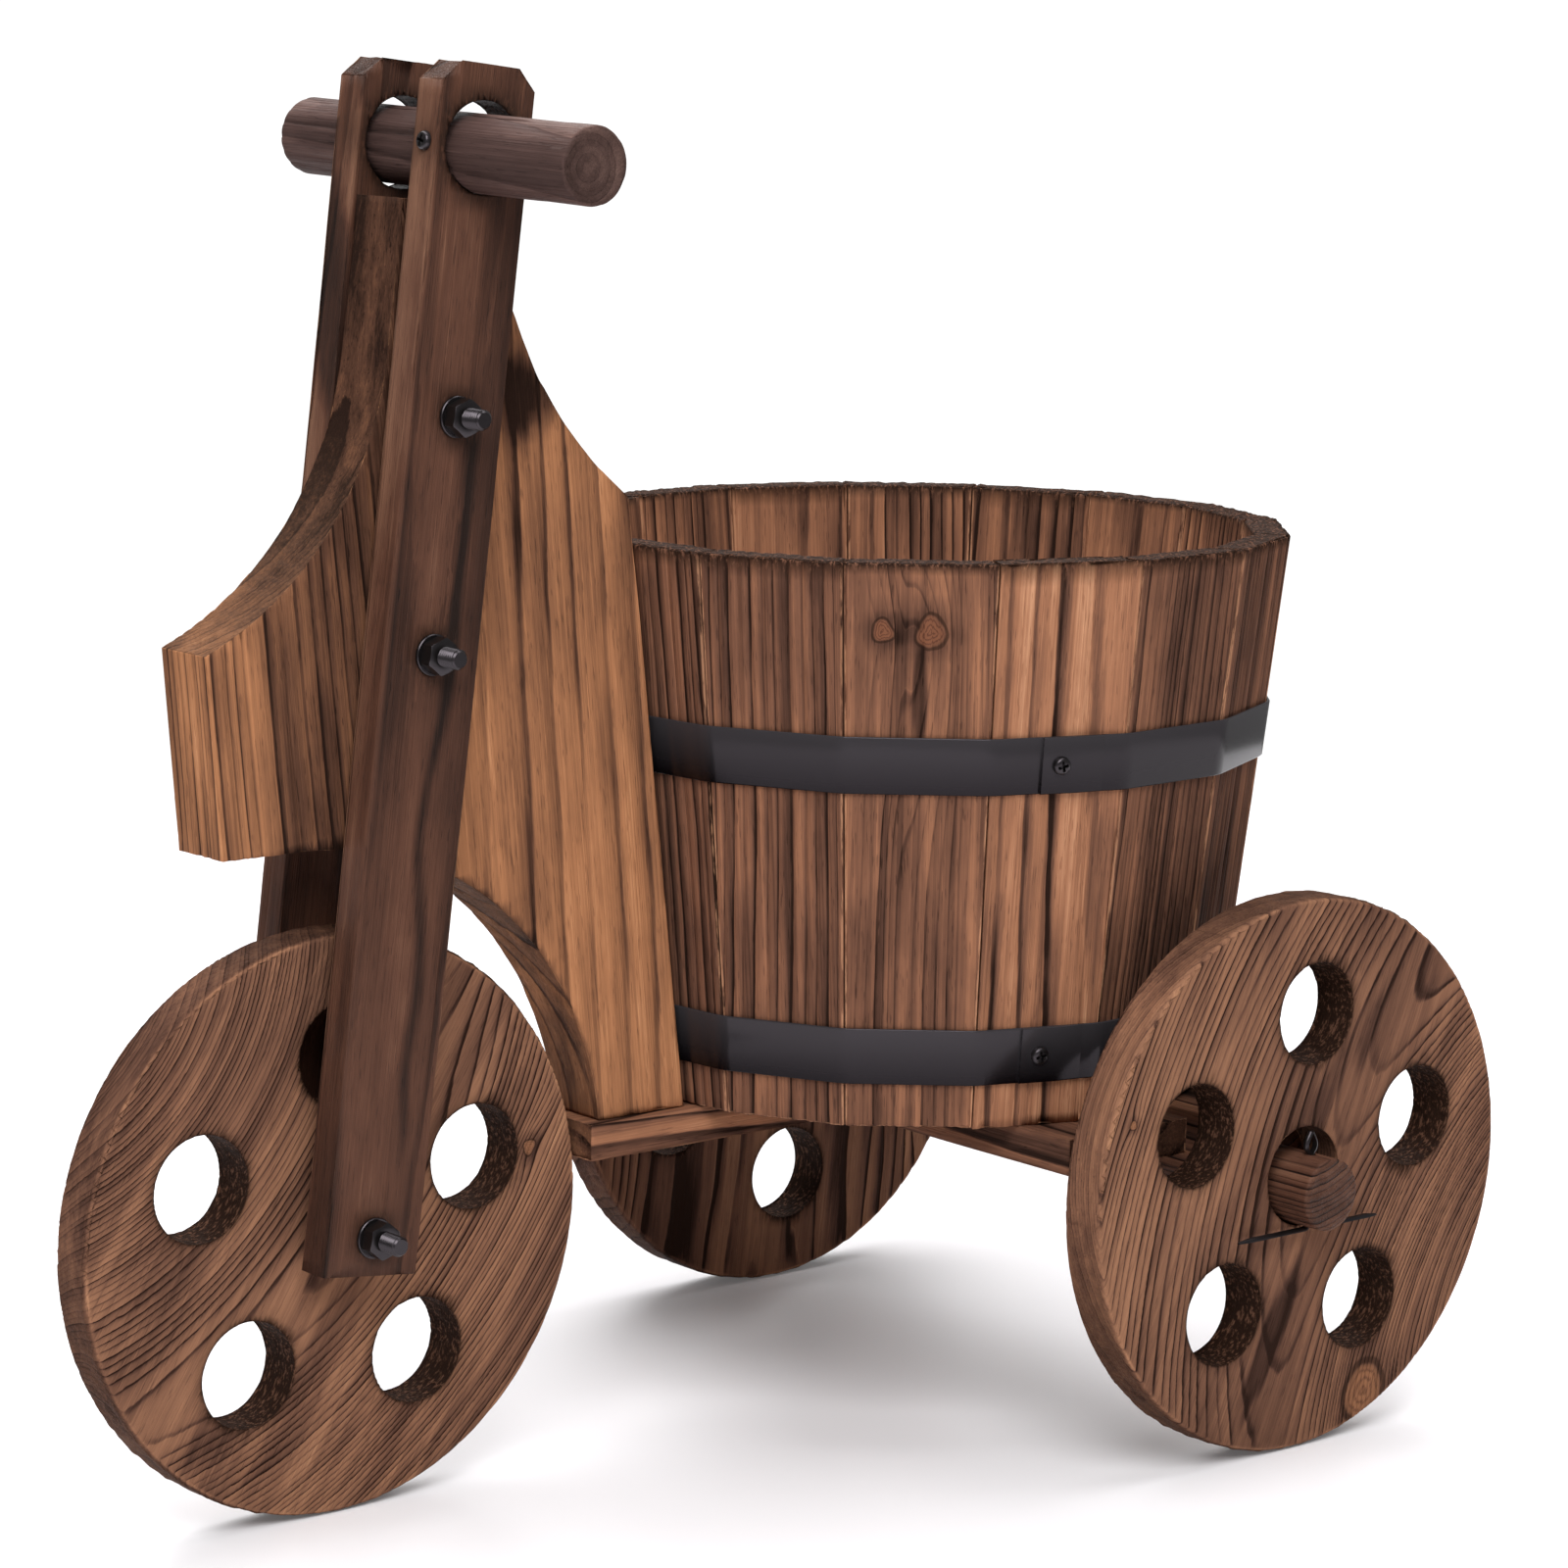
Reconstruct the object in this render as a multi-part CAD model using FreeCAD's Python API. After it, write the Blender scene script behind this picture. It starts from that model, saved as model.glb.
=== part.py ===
"""Wooden tricycle planter: a stave tub on three wheels, with a board body and a bolted fork.

Frame: +X forward, +Y to the object's left, +Z up, millimetres.
The origin is on the ground, midway between the axles.
"""
import FreeCAD, Part
import math
import os

Vector = FreeCAD.Vector

# Wheels
wheel_diameter = 230.0
wheel_thickness = 20.0
wheel_edge_round = 2.5
wheel_hole_diameter = 42.0
wheel_hole_circle = 134.0
wheel_hole_count = 5
front_hole_angle = 20.4
rear_left_hole_angle = 22.1
rear_right_hole_angle = 48.0
wheelbase = 360.0

# Rear axle and hubs
hub_bore_diameter = 41.0
hub_clearance = 0.5
axle_diameter = 30.0
axle_overhang = 17.0
dowel_end_round = 2.5

# Split pins
pin_diameter = 3.2
pin_standoff = 3.6
pin_eye_diameter = 9.0
pin_leg_length = 40.0

# Base boards
board_stock = 15.0
base_board_width = 38.0
base_toe = 7.0
cross_board_width = 65.0
cross_board_length = 300.0
cross_board_pitch = 74.0
axle_seat_depth = 10.0
axle_seat_clearance = 0.1
wheel_side_gap = 6.0
lap_clearance = 0.2

# Tub
stave_count = 16
stave_thickness = 15.0
stave_gap = 0.4
stave_turn = 4.4
tub_height = 230.0
tub_set_in = 21.5
tub_flare = 51.0
floor_thickness = 15.0
floor_clearance = 0.3

# Steel bands
band_height = 23.0
band_thickness = 1.5
band_clearance = 0.1
band_lap = 16.0
lapped_stave = 3
lower_band_rise = 18.5
upper_band_rise = 137.5

# Fork legs
leg_width = 43.0
leg_thickness = 15.0
leg_lean = 6.7
leg_below_axle = 15.0
leg_above_bar = 31.0
leg_corner_clip = 8.0
upper_bolt_reach = 314.0
lower_bolt_reach = 224.0

# Handlebar
handlebar_diameter = 30.0
handlebar_hole_diameter = 35.0
handlebar_reach = 415.0
handlebar_length = 183.0
handlebar_shift = 11.0
handlebar_tilt = 1.5
handlebar_seat_gap = 0.1

# Body board
body_thickness = 30.0
body_tub_gap = 0.3
foot_length = 43.5
neck_gap = 4.0
neck_break_reach = 335.0
shoulder_height = 250.0
shoulder_set_off = 4.0
shoulder_sag = 14.0
shoulder_round = 5.0
arch_clearance = 24.5
arch_ahead = 16.0
arch_lift = 9.0
chin_length = 40.5
prow_height = 78.0
prow_lean = 7.5

# Bolts, nuts and washers
bolt_diameter = 8.0
bolt_clearance = 0.25
bolt_end_bevel = 1.0
bolt_tip = 10.0
hex_across_flats = 13.0
nut_thickness = 6.5
head_thickness = 5.3
thread_clearance = 0.05
washer_diameter = 16.0
washer_thickness = 1.6
spacer_diameter = 18.0
spacer_thickness = 3.0

# Screws
screw_diameter = 4.0
screw_clearance = 0.1
countersink_diameter = 8.0
floor_screw_length = 25.0
foot_screw_length = 45.0
axle_screw_length = 38.0
floor_screw_set_in = 20.0
axle_screw_spread = 190.0
foot_screw_pitch = 24.0
pan_head_diameter = 7.4
pan_head_height = 2.4
band_screw_diameter = 3.5
band_screw_length = 12.0
handlebar_screw_length = 25.0

# Places that follow from the sizes above
wheel_radius = wheel_diameter / 2
front_axle_x = wheelbase / 2
rear_axle_x = -wheelbase / 2
axle_z = wheel_radius - hub_bore_diameter / 2 + hub_clearance + axle_diameter / 2
base_bottom = axle_z + axle_diameter / 2
base_middle = base_bottom + board_stock / 2
base_top = base_bottom + board_stock
wheel_inner_y = cross_board_length / 2 + wheel_side_gap
wheel_outer_y = wheel_inner_y + wheel_thickness
axle_half_length = wheel_outer_y + axle_overhang
pin_y = wheel_outer_y + pin_standoff
cross_board_xs = [rear_axle_x, rear_axle_x + cross_board_pitch]
tub_top = base_top + tub_height
tub_bottom_across = cross_board_length - 2 * tub_set_in
tub_top_across = tub_bottom_across + tub_flare
stave_half_angle = math.radians(180.0 / stave_count)
turn = math.radians(stave_turn)
lean = math.radians(leg_lean)
arch_x = front_axle_x + arch_ahead
arch_z = wheel_radius + arch_lift
arch_radius = wheel_radius + arch_clearance
foot_front_x = arch_x - math.sqrt(arch_radius ** 2 - (base_top - arch_z) ** 2)
foot_rear_x = foot_front_x - foot_length
leg_inner_y = body_thickness / 2 + spacer_thickness
leg_outer_y = leg_inner_y + leg_thickness
bolt_hole_radius = bolt_diameter / 2 + bolt_clearance
fork_bolt_reaches = [lower_bolt_reach, upper_bolt_reach]
neck_top_reach = handlebar_reach - handlebar_hole_diameter / 2 - neck_gap


def box(x0, x1, y0, y1, z0, z1):
    return Part.makeBox(x1 - x0, y1 - y0, z1 - z0, Vector(x0, y0, z0))


def rod(start, end, radius):
    """A round bar between two points."""
    along = end - start
    return Part.makeCylinder(radius, along.Length, start, along)


def cross_rod(x, z, y0, y1, radius):
    """A round bar across the object, along Y."""
    return rod(Vector(x, y0, z), Vector(x, y1, z), radius)


def leg_point(reach, across):
    """Place in the XZ plane: reach up a leg from the front axle, across it towards the front."""
    x = front_axle_x - reach * math.sin(lean) + across * math.cos(lean)
    z = wheel_radius + reach * math.cos(lean) + across * math.sin(lean)
    return Vector(x, 0, z)


def plate(wire, y0, y1):
    """A flat board: an outline in the XZ plane, given its thickness along Y."""
    face = Part.Face(wire)
    face.translate(Vector(0, y0, 0))
    return face.extrude(Vector(0, y1 - y0, 0))


def closed_polygon(points):
    return Part.makePolygon(points + points[:1])


def apothem(z):
    """Distance from the tub's axis to the outer face of a stave, at a height."""
    share = (z - base_top) / tub_height
    return (tub_bottom_across + (tub_top_across - tub_bottom_across) * share) / 2


def tub_to_body(z):
    """Distance from the tub's axis to the body board's rear edge, clear of the bands round the tub."""
    flat = (apothem(z) + band_clearance + band_thickness) / math.cos(turn)
    return flat + body_thickness / 2 * math.tan(turn) + body_tub_gap


tub_x = foot_rear_x - tub_to_body(base_top)


def tub_ring(offset, z):
    """Outline round the tub with a flat for each stave, a distance outside the staves' faces."""
    radius = (apothem(z) + offset) / math.cos(stave_half_angle)
    points = []
    for index in range(stave_count):
        angle = turn + (2 * index + 1) * stave_half_angle
        points.append(Vector(tub_x + radius * math.cos(angle), radius * math.sin(angle), z))
    return closed_polygon(points)


def tub_frustum(offset, z0, z1):
    return Part.makeLoft([tub_ring(offset, z0), tub_ring(offset, z1)], True, True)


def on_stave(index, offset, z):
    """Point on the middle line of a stave, and the direction out of its face."""
    angle = turn + 2 * index * stave_half_angle
    radius = apothem(z) + offset
    slope = (tub_top_across - tub_bottom_across) / 2 / tub_height
    out = Vector(math.cos(angle), math.sin(angle), -slope).normalize()
    return Vector(tub_x + radius * math.cos(angle), radius * math.sin(angle), z), out


def round_edges(solid, radius, wanted):
    """Fillets the edges that a test picks out."""
    edges = [edge for edge in solid.Edges if wanted(edge)]
    return solid.makeFillet(radius, edges)


def is_circle_of(radius):
    def test(edge):
        curve = edge.Curve
        return isinstance(curve, Part.Circle) and abs(curve.Radius - radius) < 1e-6
    return test


def wheel(x, y_middle, bore_radius, first_hole):
    """A round board with a ring of holes, standing on the ground."""
    y0 = y_middle - wheel_thickness / 2
    y1 = y_middle + wheel_thickness / 2
    solid = cross_rod(x, wheel_radius, y0, y1, wheel_radius)
    solid = round_edges(solid, min(wheel_edge_round, wheel_thickness / 3), is_circle_of(wheel_radius))
    for index in range(wheel_hole_count):
        angle = math.radians(first_hole + 360.0 * index / wheel_hole_count)
        hole_x = x + wheel_hole_circle / 2 * math.cos(angle)
        hole_z = wheel_radius + wheel_hole_circle / 2 * math.sin(angle)
        solid = solid.cut(cross_rod(hole_x, hole_z, y0, y1, wheel_hole_diameter / 2))
    return solid.cut(cross_rod(x, wheel_radius, y0, y1, bore_radius))


def front_wheel():
    return wheel(front_axle_x, 0.0, bolt_hole_radius, front_hole_angle)


def rear_wheel(side, first_hole):
    y_middle = side * (wheel_inner_y + wheel_outer_y) / 2
    return wheel(rear_axle_x, y_middle, hub_bore_diameter / 2, first_hole)


def dowel(x, z, y0, y1, radius):
    """A plain dowel across the object, with softened ends."""
    solid = cross_rod(x, z, y0, y1, radius)
    return round_edges(solid, min(dowel_end_round, radius / 3), is_circle_of(radius))


def countersunk_screw(tip, head, diameter):
    """Plain screw from its tip to the middle of its flat head."""
    along = (tip - head).normalize()
    cone_depth = (countersink_diameter - diameter) / 2
    cone = Part.makeCone(countersink_diameter / 2, diameter / 2, cone_depth, head, along)
    return rod(head + along * cone_depth, tip, diameter / 2).fuse(cone).removeSplitter()


def screw_room(tip, head, diameter):
    """Space that a countersunk screw takes up, with its clearance."""
    along = (tip - head).normalize()
    cone_depth = (countersink_diameter - diameter) / 2
    cone = Part.makeCone(countersink_diameter / 2 + screw_clearance, diameter / 2 + screw_clearance,
                         cone_depth, head, along)
    return rod(head, tip + along * screw_clearance, diameter / 2 + screw_clearance).fuse(cone)


def pan_screw(seat, out, diameter, length):
    """Screw with a low domed head that sits on a face at a point, shank into the face."""
    dome_radius = pan_head_diameter / 2
    edge_height = pan_head_height / 2
    head = Part.makeCylinder(dome_radius, pan_head_height, seat, out)
    rim = [edge for edge in head.Edges if isinstance(edge.Curve, Part.Circle)
           and (edge.Curve.Center - seat).Length > edge_height]
    head = head.makeFillet(edge_height, rim)
    return head.fuse(rod(seat - out * length, seat, diameter / 2)).removeSplitter()


def pan_screw_room(seat, out, diameter, length):
    radius = diameter / 2 + screw_clearance
    return rod(seat - out * (length + screw_clearance), seat + out * pan_head_height, radius)


def floor_screw_ends():
    """Tips and heads of the screws into the tub floor: two through the front cross board, two through the base."""
    floor_radius = apothem(base_top) - stave_thickness - floor_clearance
    cross_x = cross_board_xs[1] - cross_board_width / 4
    cross_y = math.sqrt(floor_radius ** 2 - (cross_x - tub_x) ** 2) - floor_screw_set_in
    places = [(cross_x, -cross_y), (cross_x, cross_y), (tub_x, 0), (tub_x + floor_radius / 2, 0)]
    heads = [Vector(x, y, base_bottom) for x, y in places]
    return [(head + Vector(0, 0, floor_screw_length), head) for head in heads]


def axle_screw_ends():
    """Tips and heads of the screws down through the axle board into the axle."""
    ends = []
    for side in (-1, 1):
        head = Vector(rear_axle_x, side * axle_screw_spread / 2, base_top)
        ends.append((head - Vector(0, 0, axle_screw_length), head))
    return ends


def foot_screw_ends():
    """Tips and heads of the screws up through the base board into the body board's foot."""
    middle_x = (foot_rear_x + foot_front_x) / 2
    ends = []
    for side in (-1, 1):
        head = Vector(middle_x + side * foot_screw_pitch / 2, 0, base_bottom)
        ends.append((head + Vector(0, 0, foot_screw_length), head))
    return ends


def drill_for_screws(solid):
    """Cuts room for every countersunk screw that passes through a piece."""
    for tip, head in floor_screw_ends() + axle_screw_ends() + foot_screw_ends():
        solid = solid.cut(screw_room(tip, head, screw_diameter))
    return solid


def rear_axle():
    solid = dowel(rear_axle_x, axle_z, -axle_half_length, axle_half_length, axle_diameter / 2)
    solid = drill_for_screws(solid)
    for side in (-1, 1):
        low = Vector(rear_axle_x, side * pin_y, axle_z - axle_diameter)
        high = Vector(rear_axle_x, side * pin_y, axle_z + axle_diameter)
        solid = solid.cut(rod(low, high, pin_diameter / 2 + screw_clearance))
    return solid


def split_pin(side):
    """Pin through the end of the rear axle: an eye on top, two legs spread along the wheel below."""
    wire_radius = pin_diameter / 4
    bottom = Vector(rear_axle_x, side * pin_y, axle_z - axle_diameter / 2 - wire_radius - screw_clearance)
    top = Vector(rear_axle_x, side * pin_y, axle_z + axle_diameter / 2 + wire_radius)
    eye_radius = pin_eye_diameter / 2 - wire_radius
    eye = Part.makeTorus(eye_radius, wire_radius, top + Vector(0, 0, eye_radius), Vector(0, 1, 0))
    reach = Vector(pin_leg_length, 0, 0)
    legs = rod(bottom - reach, bottom + reach, wire_radius)
    return rod(bottom, top, pin_diameter / 2).fuse([eye, legs]).removeSplitter()


def base_board():
    half = base_board_width / 2
    heel_x = rear_axle_x - cross_board_width / 2
    solid = box(heel_x, foot_front_x + base_toe, -half, half, base_bottom, base_top)
    for x in cross_board_xs:
        lap = cross_board_width / 2 + lap_clearance
        solid = solid.cut(box(x - lap, x + lap, -half, half, base_middle, base_top))
    return drill_for_screws(solid)


def cross_board(x, bottom):
    """Board across the base, halved over the base board."""
    half = cross_board_width / 2
    solid = box(x - half, x + half, -cross_board_length / 2, cross_board_length / 2, bottom, base_top)
    lap = base_board_width / 2 + lap_clearance
    solid = solid.cut(box(x - half, x + half, -lap, lap, bottom, base_middle))
    return drill_for_screws(solid)


def axle_board():
    """Cross board above the axle, deeper than the base board, with a groove that the axle lies in."""
    solid = cross_board(rear_axle_x, base_bottom - axle_seat_depth)
    half_length = cross_board_length / 2
    groove_radius = axle_diameter / 2 + axle_seat_clearance
    return solid.cut(cross_rod(rear_axle_x, axle_z, -half_length, half_length, groove_radius))


def front_cross_board():
    return cross_board(cross_board_xs[1], base_bottom)


def stave(index):
    """Flat tapered board of the tub; its two edges point at the tub's axis."""
    wires = []
    for z in (base_top, tub_top):
        outer = apothem(z)
        inner = outer - stave_thickness
        points = []
        for radius, side in ((inner, -1), (outer, -1), (outer, 1), (inner, 1)):
            half_width = radius * math.tan(stave_half_angle) - stave_gap / 2
            points.append(Vector(radius, side * half_width, z))
        wires.append(closed_polygon(points))
    solid = Part.makeLoft(wires, True, True)
    angle = stave_turn + 360.0 * index / stave_count
    solid.rotate(Vector(0, 0, 0), Vector(0, 0, 1), angle)
    solid.translate(Vector(tub_x, 0, 0))
    for seat, out in band_screw_seats():
        solid = solid.cut(pan_screw_room(seat, out, band_screw_diameter, band_screw_length))
    return solid


def tub_floor():
    inset = -stave_thickness - floor_clearance
    solid = tub_frustum(inset, base_top, base_top + floor_thickness)
    return drill_for_screws(solid)


def band_screw_seats():
    """Where the band screws' heads sit on the laps, and the way out."""
    offset = band_clearance + 2 * band_thickness
    middles = [base_top + rise + band_height / 2 for rise in (lower_band_rise, upper_band_rise)]
    return [on_stave(lapped_stave, offset, z) for z in middles]


def band(rise):
    """Steel hoop bent round the staves, its end lapped over one of them."""
    z0 = base_top + rise
    z1 = z0 + band_height
    inner = tub_frustum(band_clearance, z0, z1)
    hoop = tub_frustum(band_clearance + band_thickness, z0, z1).cut(inner)
    for seat, out in band_screw_seats():
        if z0 < seat.z < z1:
            keep = Part.makeBox(band_height * 2, band_lap, band_height * 2)
            keep.translate(Vector(-band_height, -band_lap / 2, -band_height))
            keep.rotate(Vector(0, 0, 0), Vector(0, 0, 1), math.degrees(math.atan2(out.y, out.x)))
            keep.translate(seat)
            lap = tub_frustum(band_clearance + 2 * band_thickness, z0, z1).cut(inner).common(keep)
            hoop = hoop.fuse(lap).removeSplitter()
            hoop = hoop.cut(pan_screw_room(seat, out, band_screw_diameter, band_screw_length))
    return hoop


def handlebar_hole():
    return leg_point(handlebar_reach, 0.0)


def handlebar_pivot():
    """Point of the bar's axis in the left leg, where the bar lies in the bottom of its oversize hole."""
    tilt_room = leg_thickness / 2 * math.tan(math.radians(handlebar_tilt))
    drop = (handlebar_hole_diameter - handlebar_diameter) / 2 - handlebar_seat_gap - tilt_room
    return handlebar_hole() + Vector(0, (leg_inner_y + leg_outer_y) / 2, -drop)


def handlebar_screw_seat():
    """Middle of the left leg's front edge at the handlebar, and the way out of it."""
    seat = leg_point(handlebar_reach, leg_width / 2)
    seat.y = (leg_inner_y + leg_outer_y) / 2
    return seat, Vector(math.cos(lean), 0, math.sin(lean))


def fork_leg(side):
    """Flat leg beside the body board and the front wheel."""
    half = leg_width / 2
    top = handlebar_reach + leg_above_bar
    clip = leg_corner_clip
    outline = [(-leg_below_axle, -half), (-leg_below_axle, half), (top - clip, half), (top, half - clip),
               (top, clip - half), (top - clip, -half)]
    y0, y1 = sorted((side * leg_inner_y, side * leg_outer_y))
    solid = plate(closed_polygon([leg_point(reach, across) for reach, across in outline]), y0, y1)
    hole = handlebar_hole()
    solid = solid.cut(cross_rod(hole.x, hole.z, y0, y1, handlebar_hole_diameter / 2))
    for reach in [0.0] + fork_bolt_reaches:
        place = leg_point(reach, 0.0)
        solid = solid.cut(cross_rod(place.x, place.z, y0, y1, bolt_hole_radius))
    seat, out = handlebar_screw_seat()
    return solid.cut(pan_screw_room(seat, out, screw_diameter, handlebar_screw_length))


def handlebar():
    """Loose dowel through both legs, its right end a little higher."""
    pivot = handlebar_pivot()
    y0 = handlebar_shift - handlebar_length / 2
    y1 = handlebar_shift + handlebar_length / 2
    solid = dowel(pivot.x, pivot.z, y0, y1, handlebar_diameter / 2)
    solid.rotate(pivot, Vector(1, 0, 0), -handlebar_tilt)
    seat, out = handlebar_screw_seat()
    return solid.cut(pan_screw_room(seat, out, screw_diameter, handlebar_screw_length))


def sagged_arc(start, end, sag):
    """Arc between two points that bows to the right of the way from start to end, seen from -Y."""
    chord = end - start
    right = Vector(chord.z, 0, -chord.x).normalize()
    return Part.Arc(start, start + chord * 0.5 + right * sag, end).toShape()


def tangent_arc(start, tangent, end):
    """Arc that leaves start along a direction and ends at a point."""
    chord = end - start
    half_turn = tangent.getAngle(chord)
    side = tangent - chord * (tangent.dot(chord) / chord.dot(chord))
    sag = chord.Length / 2 * math.tan(half_turn / 2)
    return Part.Arc(start, start + chord * 0.5 + side.normalize() * sag, end).toShape()


def body_board():
    """Shaped board from the foot on the base, along the tub, to the neck between the legs."""
    foot_rear = Vector(foot_rear_x, 0, base_top)
    foot_front = Vector(foot_front_x, 0, base_top)
    arch_top = Vector(arch_x, 0, arch_z + arch_radius)
    arch_mid = Vector(arch_x - arch_radius * math.sqrt(0.5), 0, arch_z + arch_radius * math.sqrt(0.5))
    chin = arch_top + Vector(chin_length, 0, 0)
    prow = chin + Vector(prow_lean, 0, prow_height)
    neck_break = leg_point(neck_break_reach, leg_width / 2)
    neck_front = leg_point(neck_top_reach, leg_width / 2)
    neck_rear = leg_point(neck_top_reach, -leg_width / 2)
    shoulder_z = base_top + shoulder_height
    shoulder = Vector(tub_x + tub_to_body(shoulder_z) + shoulder_set_off, 0, shoulder_z)
    down_leg = Vector(math.sin(lean), 0, -math.cos(lean))
    edges = [Part.makeLine(foot_rear, foot_front),
             Part.Arc(foot_front, arch_mid, arch_top).toShape(),
             Part.makeLine(arch_top, chin),
             Part.makeLine(chin, prow),
             tangent_arc(neck_break, down_leg, prow),
             Part.makeLine(neck_break, neck_front),
             Part.makeLine(neck_front, neck_rear),
             sagged_arc(shoulder, neck_rear, shoulder_sag),
             Part.makeLine(shoulder, foot_rear)]
    solid = plate(Part.Wire(Part.__sortEdges__(edges)), -body_thickness / 2, body_thickness / 2)

    def at_shoulder(edge):
        middle = edge.CenterOfMass
        return abs(middle.x - shoulder.x) < 1e-3 and abs(middle.z - shoulder.z) < 1e-3
    solid = round_edges(solid, shoulder_round, at_shoulder)
    for reach in fork_bolt_reaches:
        place = leg_point(reach, 0.0)
        solid = solid.cut(cross_rod(place.x, place.z, -body_thickness, body_thickness, bolt_hole_radius))
    return drill_for_screws(solid)


def hexagon(place, y0, y1):
    """Six-sided prism across the object."""
    radius = hex_across_flats / 2 / math.cos(math.pi / 6)
    points = []
    for index in range(6):
        angle = math.radians(60.0 * index + 30.0)
        points.append(Vector(place.x + radius * math.cos(angle), 0, place.z + radius * math.sin(angle)))
    return plate(closed_polygon(points), y0, y1)


def bolt(reach):
    """Hexagon bolt across the fork, head on the right and thread on the left."""
    place = leg_point(reach, 0.0)
    head_y = -leg_outer_y - washer_thickness
    tip_y = leg_outer_y + washer_thickness + nut_thickness + bolt_tip
    shank = cross_rod(place.x, place.z, head_y, tip_y - bolt_end_bevel, bolt_diameter / 2)
    tip = Part.makeCone(bolt_diameter / 2, bolt_diameter / 2 - bolt_end_bevel, bolt_end_bevel,
                        Vector(place.x, tip_y - bolt_end_bevel, place.z), Vector(0, 1, 0))
    return hexagon(place, head_y - head_thickness, head_y).fuse([shank, tip]).removeSplitter()


def nut(reach):
    place = leg_point(reach, 0.0)
    y0 = leg_outer_y + washer_thickness
    bore = cross_rod(place.x, place.z, y0, y0 + nut_thickness, bolt_diameter / 2 + thread_clearance)
    return hexagon(place, y0, y0 + nut_thickness).cut(bore)


def washer(reach, y0, thickness, diameter):
    place = leg_point(reach, 0.0)
    disc = cross_rod(place.x, place.z, y0, y0 + thickness, diameter / 2)
    return disc.cut(cross_rod(place.x, place.z, y0, y0 + thickness, bolt_hole_radius))


def bolt_washers():
    discs = []
    for reach in [0.0] + fork_bolt_reaches:
        discs.append(washer(reach, leg_outer_y, washer_thickness, washer_diameter))
        discs.append(washer(reach, -leg_outer_y - washer_thickness, washer_thickness, washer_diameter))
    return discs


def fork_spacers():
    discs = []
    for reach in fork_bolt_reaches:
        discs.append(washer(reach, body_thickness / 2, spacer_thickness, spacer_diameter))
        discs.append(washer(reach, -leg_inner_y, spacer_thickness, spacer_diameter))
    return discs


def countersunk_group(ends):
    return [countersunk_screw(tip, head, screw_diameter) for tip, head in ends]


def band_screws():
    return [pan_screw(seat, out, band_screw_diameter, band_screw_length) for seat, out in band_screw_seats()]


def handlebar_screw():
    seat, out = handlebar_screw_seat()
    return pan_screw(seat, out, screw_diameter, handlebar_screw_length)


def write(node, solids):
    """One STEP file for a node; a list of solids is a group of like pieces."""
    shape = Part.makeCompound(solids) if isinstance(solids, list) else solids
    shape.exportStep("parts/" + node + ".step")


def main():
    os.makedirs("parts", exist_ok=True)
    write("front_wheel", front_wheel())
    write("rear_wheel_left", rear_wheel(1, rear_left_hole_angle))
    write("rear_wheel_right", rear_wheel(-1, rear_right_hole_angle))
    write("rear_axle", rear_axle())
    write("split_pins", [split_pin(-1), split_pin(1)])
    write("base_board", base_board())
    write("axle_board", axle_board())
    write("front_cross_board", front_cross_board())
    for index in range(stave_count):
        write("stave_%02d" % (index + 1), stave(index))
    write("tub_floor", tub_floor())
    write("lower_band", band(lower_band_rise))
    write("upper_band", band(upper_band_rise))
    write("band_screws", band_screws())
    write("fork_leg_left", fork_leg(1))
    write("fork_leg_right", fork_leg(-1))
    write("handlebar", handlebar())
    write("handlebar_screw", handlebar_screw())
    write("body_board", body_board())
    write("front_axle_bolt", bolt(0.0))
    write("fork_bolts", [bolt(reach) for reach in fork_bolt_reaches])
    write("bolt_nuts", [nut(reach) for reach in [0.0] + fork_bolt_reaches])
    write("bolt_washers", bolt_washers())
    write("fork_spacers", fork_spacers())
    write("foot_screws", countersunk_group(foot_screw_ends()))
    write("floor_screws", countersunk_group(floor_screw_ends()))
    write("axle_screws", countersunk_group(axle_screw_ends()))


main()
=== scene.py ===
import math

import bmesh
import bpy
import numpy as np
from mathutils import Matrix, Vector


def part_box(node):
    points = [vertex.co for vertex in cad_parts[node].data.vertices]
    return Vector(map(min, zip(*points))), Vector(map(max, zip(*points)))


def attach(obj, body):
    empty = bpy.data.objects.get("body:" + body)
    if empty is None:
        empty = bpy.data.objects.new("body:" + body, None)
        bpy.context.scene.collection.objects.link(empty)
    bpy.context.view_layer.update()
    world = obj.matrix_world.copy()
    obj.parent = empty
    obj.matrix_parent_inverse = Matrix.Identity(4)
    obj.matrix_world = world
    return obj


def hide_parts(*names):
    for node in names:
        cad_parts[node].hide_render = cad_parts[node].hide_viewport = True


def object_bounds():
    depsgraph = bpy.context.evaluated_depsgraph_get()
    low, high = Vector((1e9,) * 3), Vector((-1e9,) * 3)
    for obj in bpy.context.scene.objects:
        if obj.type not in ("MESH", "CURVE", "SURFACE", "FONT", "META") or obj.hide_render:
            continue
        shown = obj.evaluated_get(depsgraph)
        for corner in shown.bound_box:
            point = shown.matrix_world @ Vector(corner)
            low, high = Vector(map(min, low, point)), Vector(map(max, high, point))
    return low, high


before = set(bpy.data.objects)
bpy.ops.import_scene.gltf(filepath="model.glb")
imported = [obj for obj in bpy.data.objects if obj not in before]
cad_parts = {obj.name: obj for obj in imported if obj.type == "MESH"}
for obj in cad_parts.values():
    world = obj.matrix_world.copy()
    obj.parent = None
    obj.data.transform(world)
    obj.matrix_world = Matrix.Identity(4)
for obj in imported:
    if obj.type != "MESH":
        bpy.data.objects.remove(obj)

cad_low, cad_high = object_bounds()

# Looks of a charred and brushed softwood planter. Lengths are in metres, angles in degrees.

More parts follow.
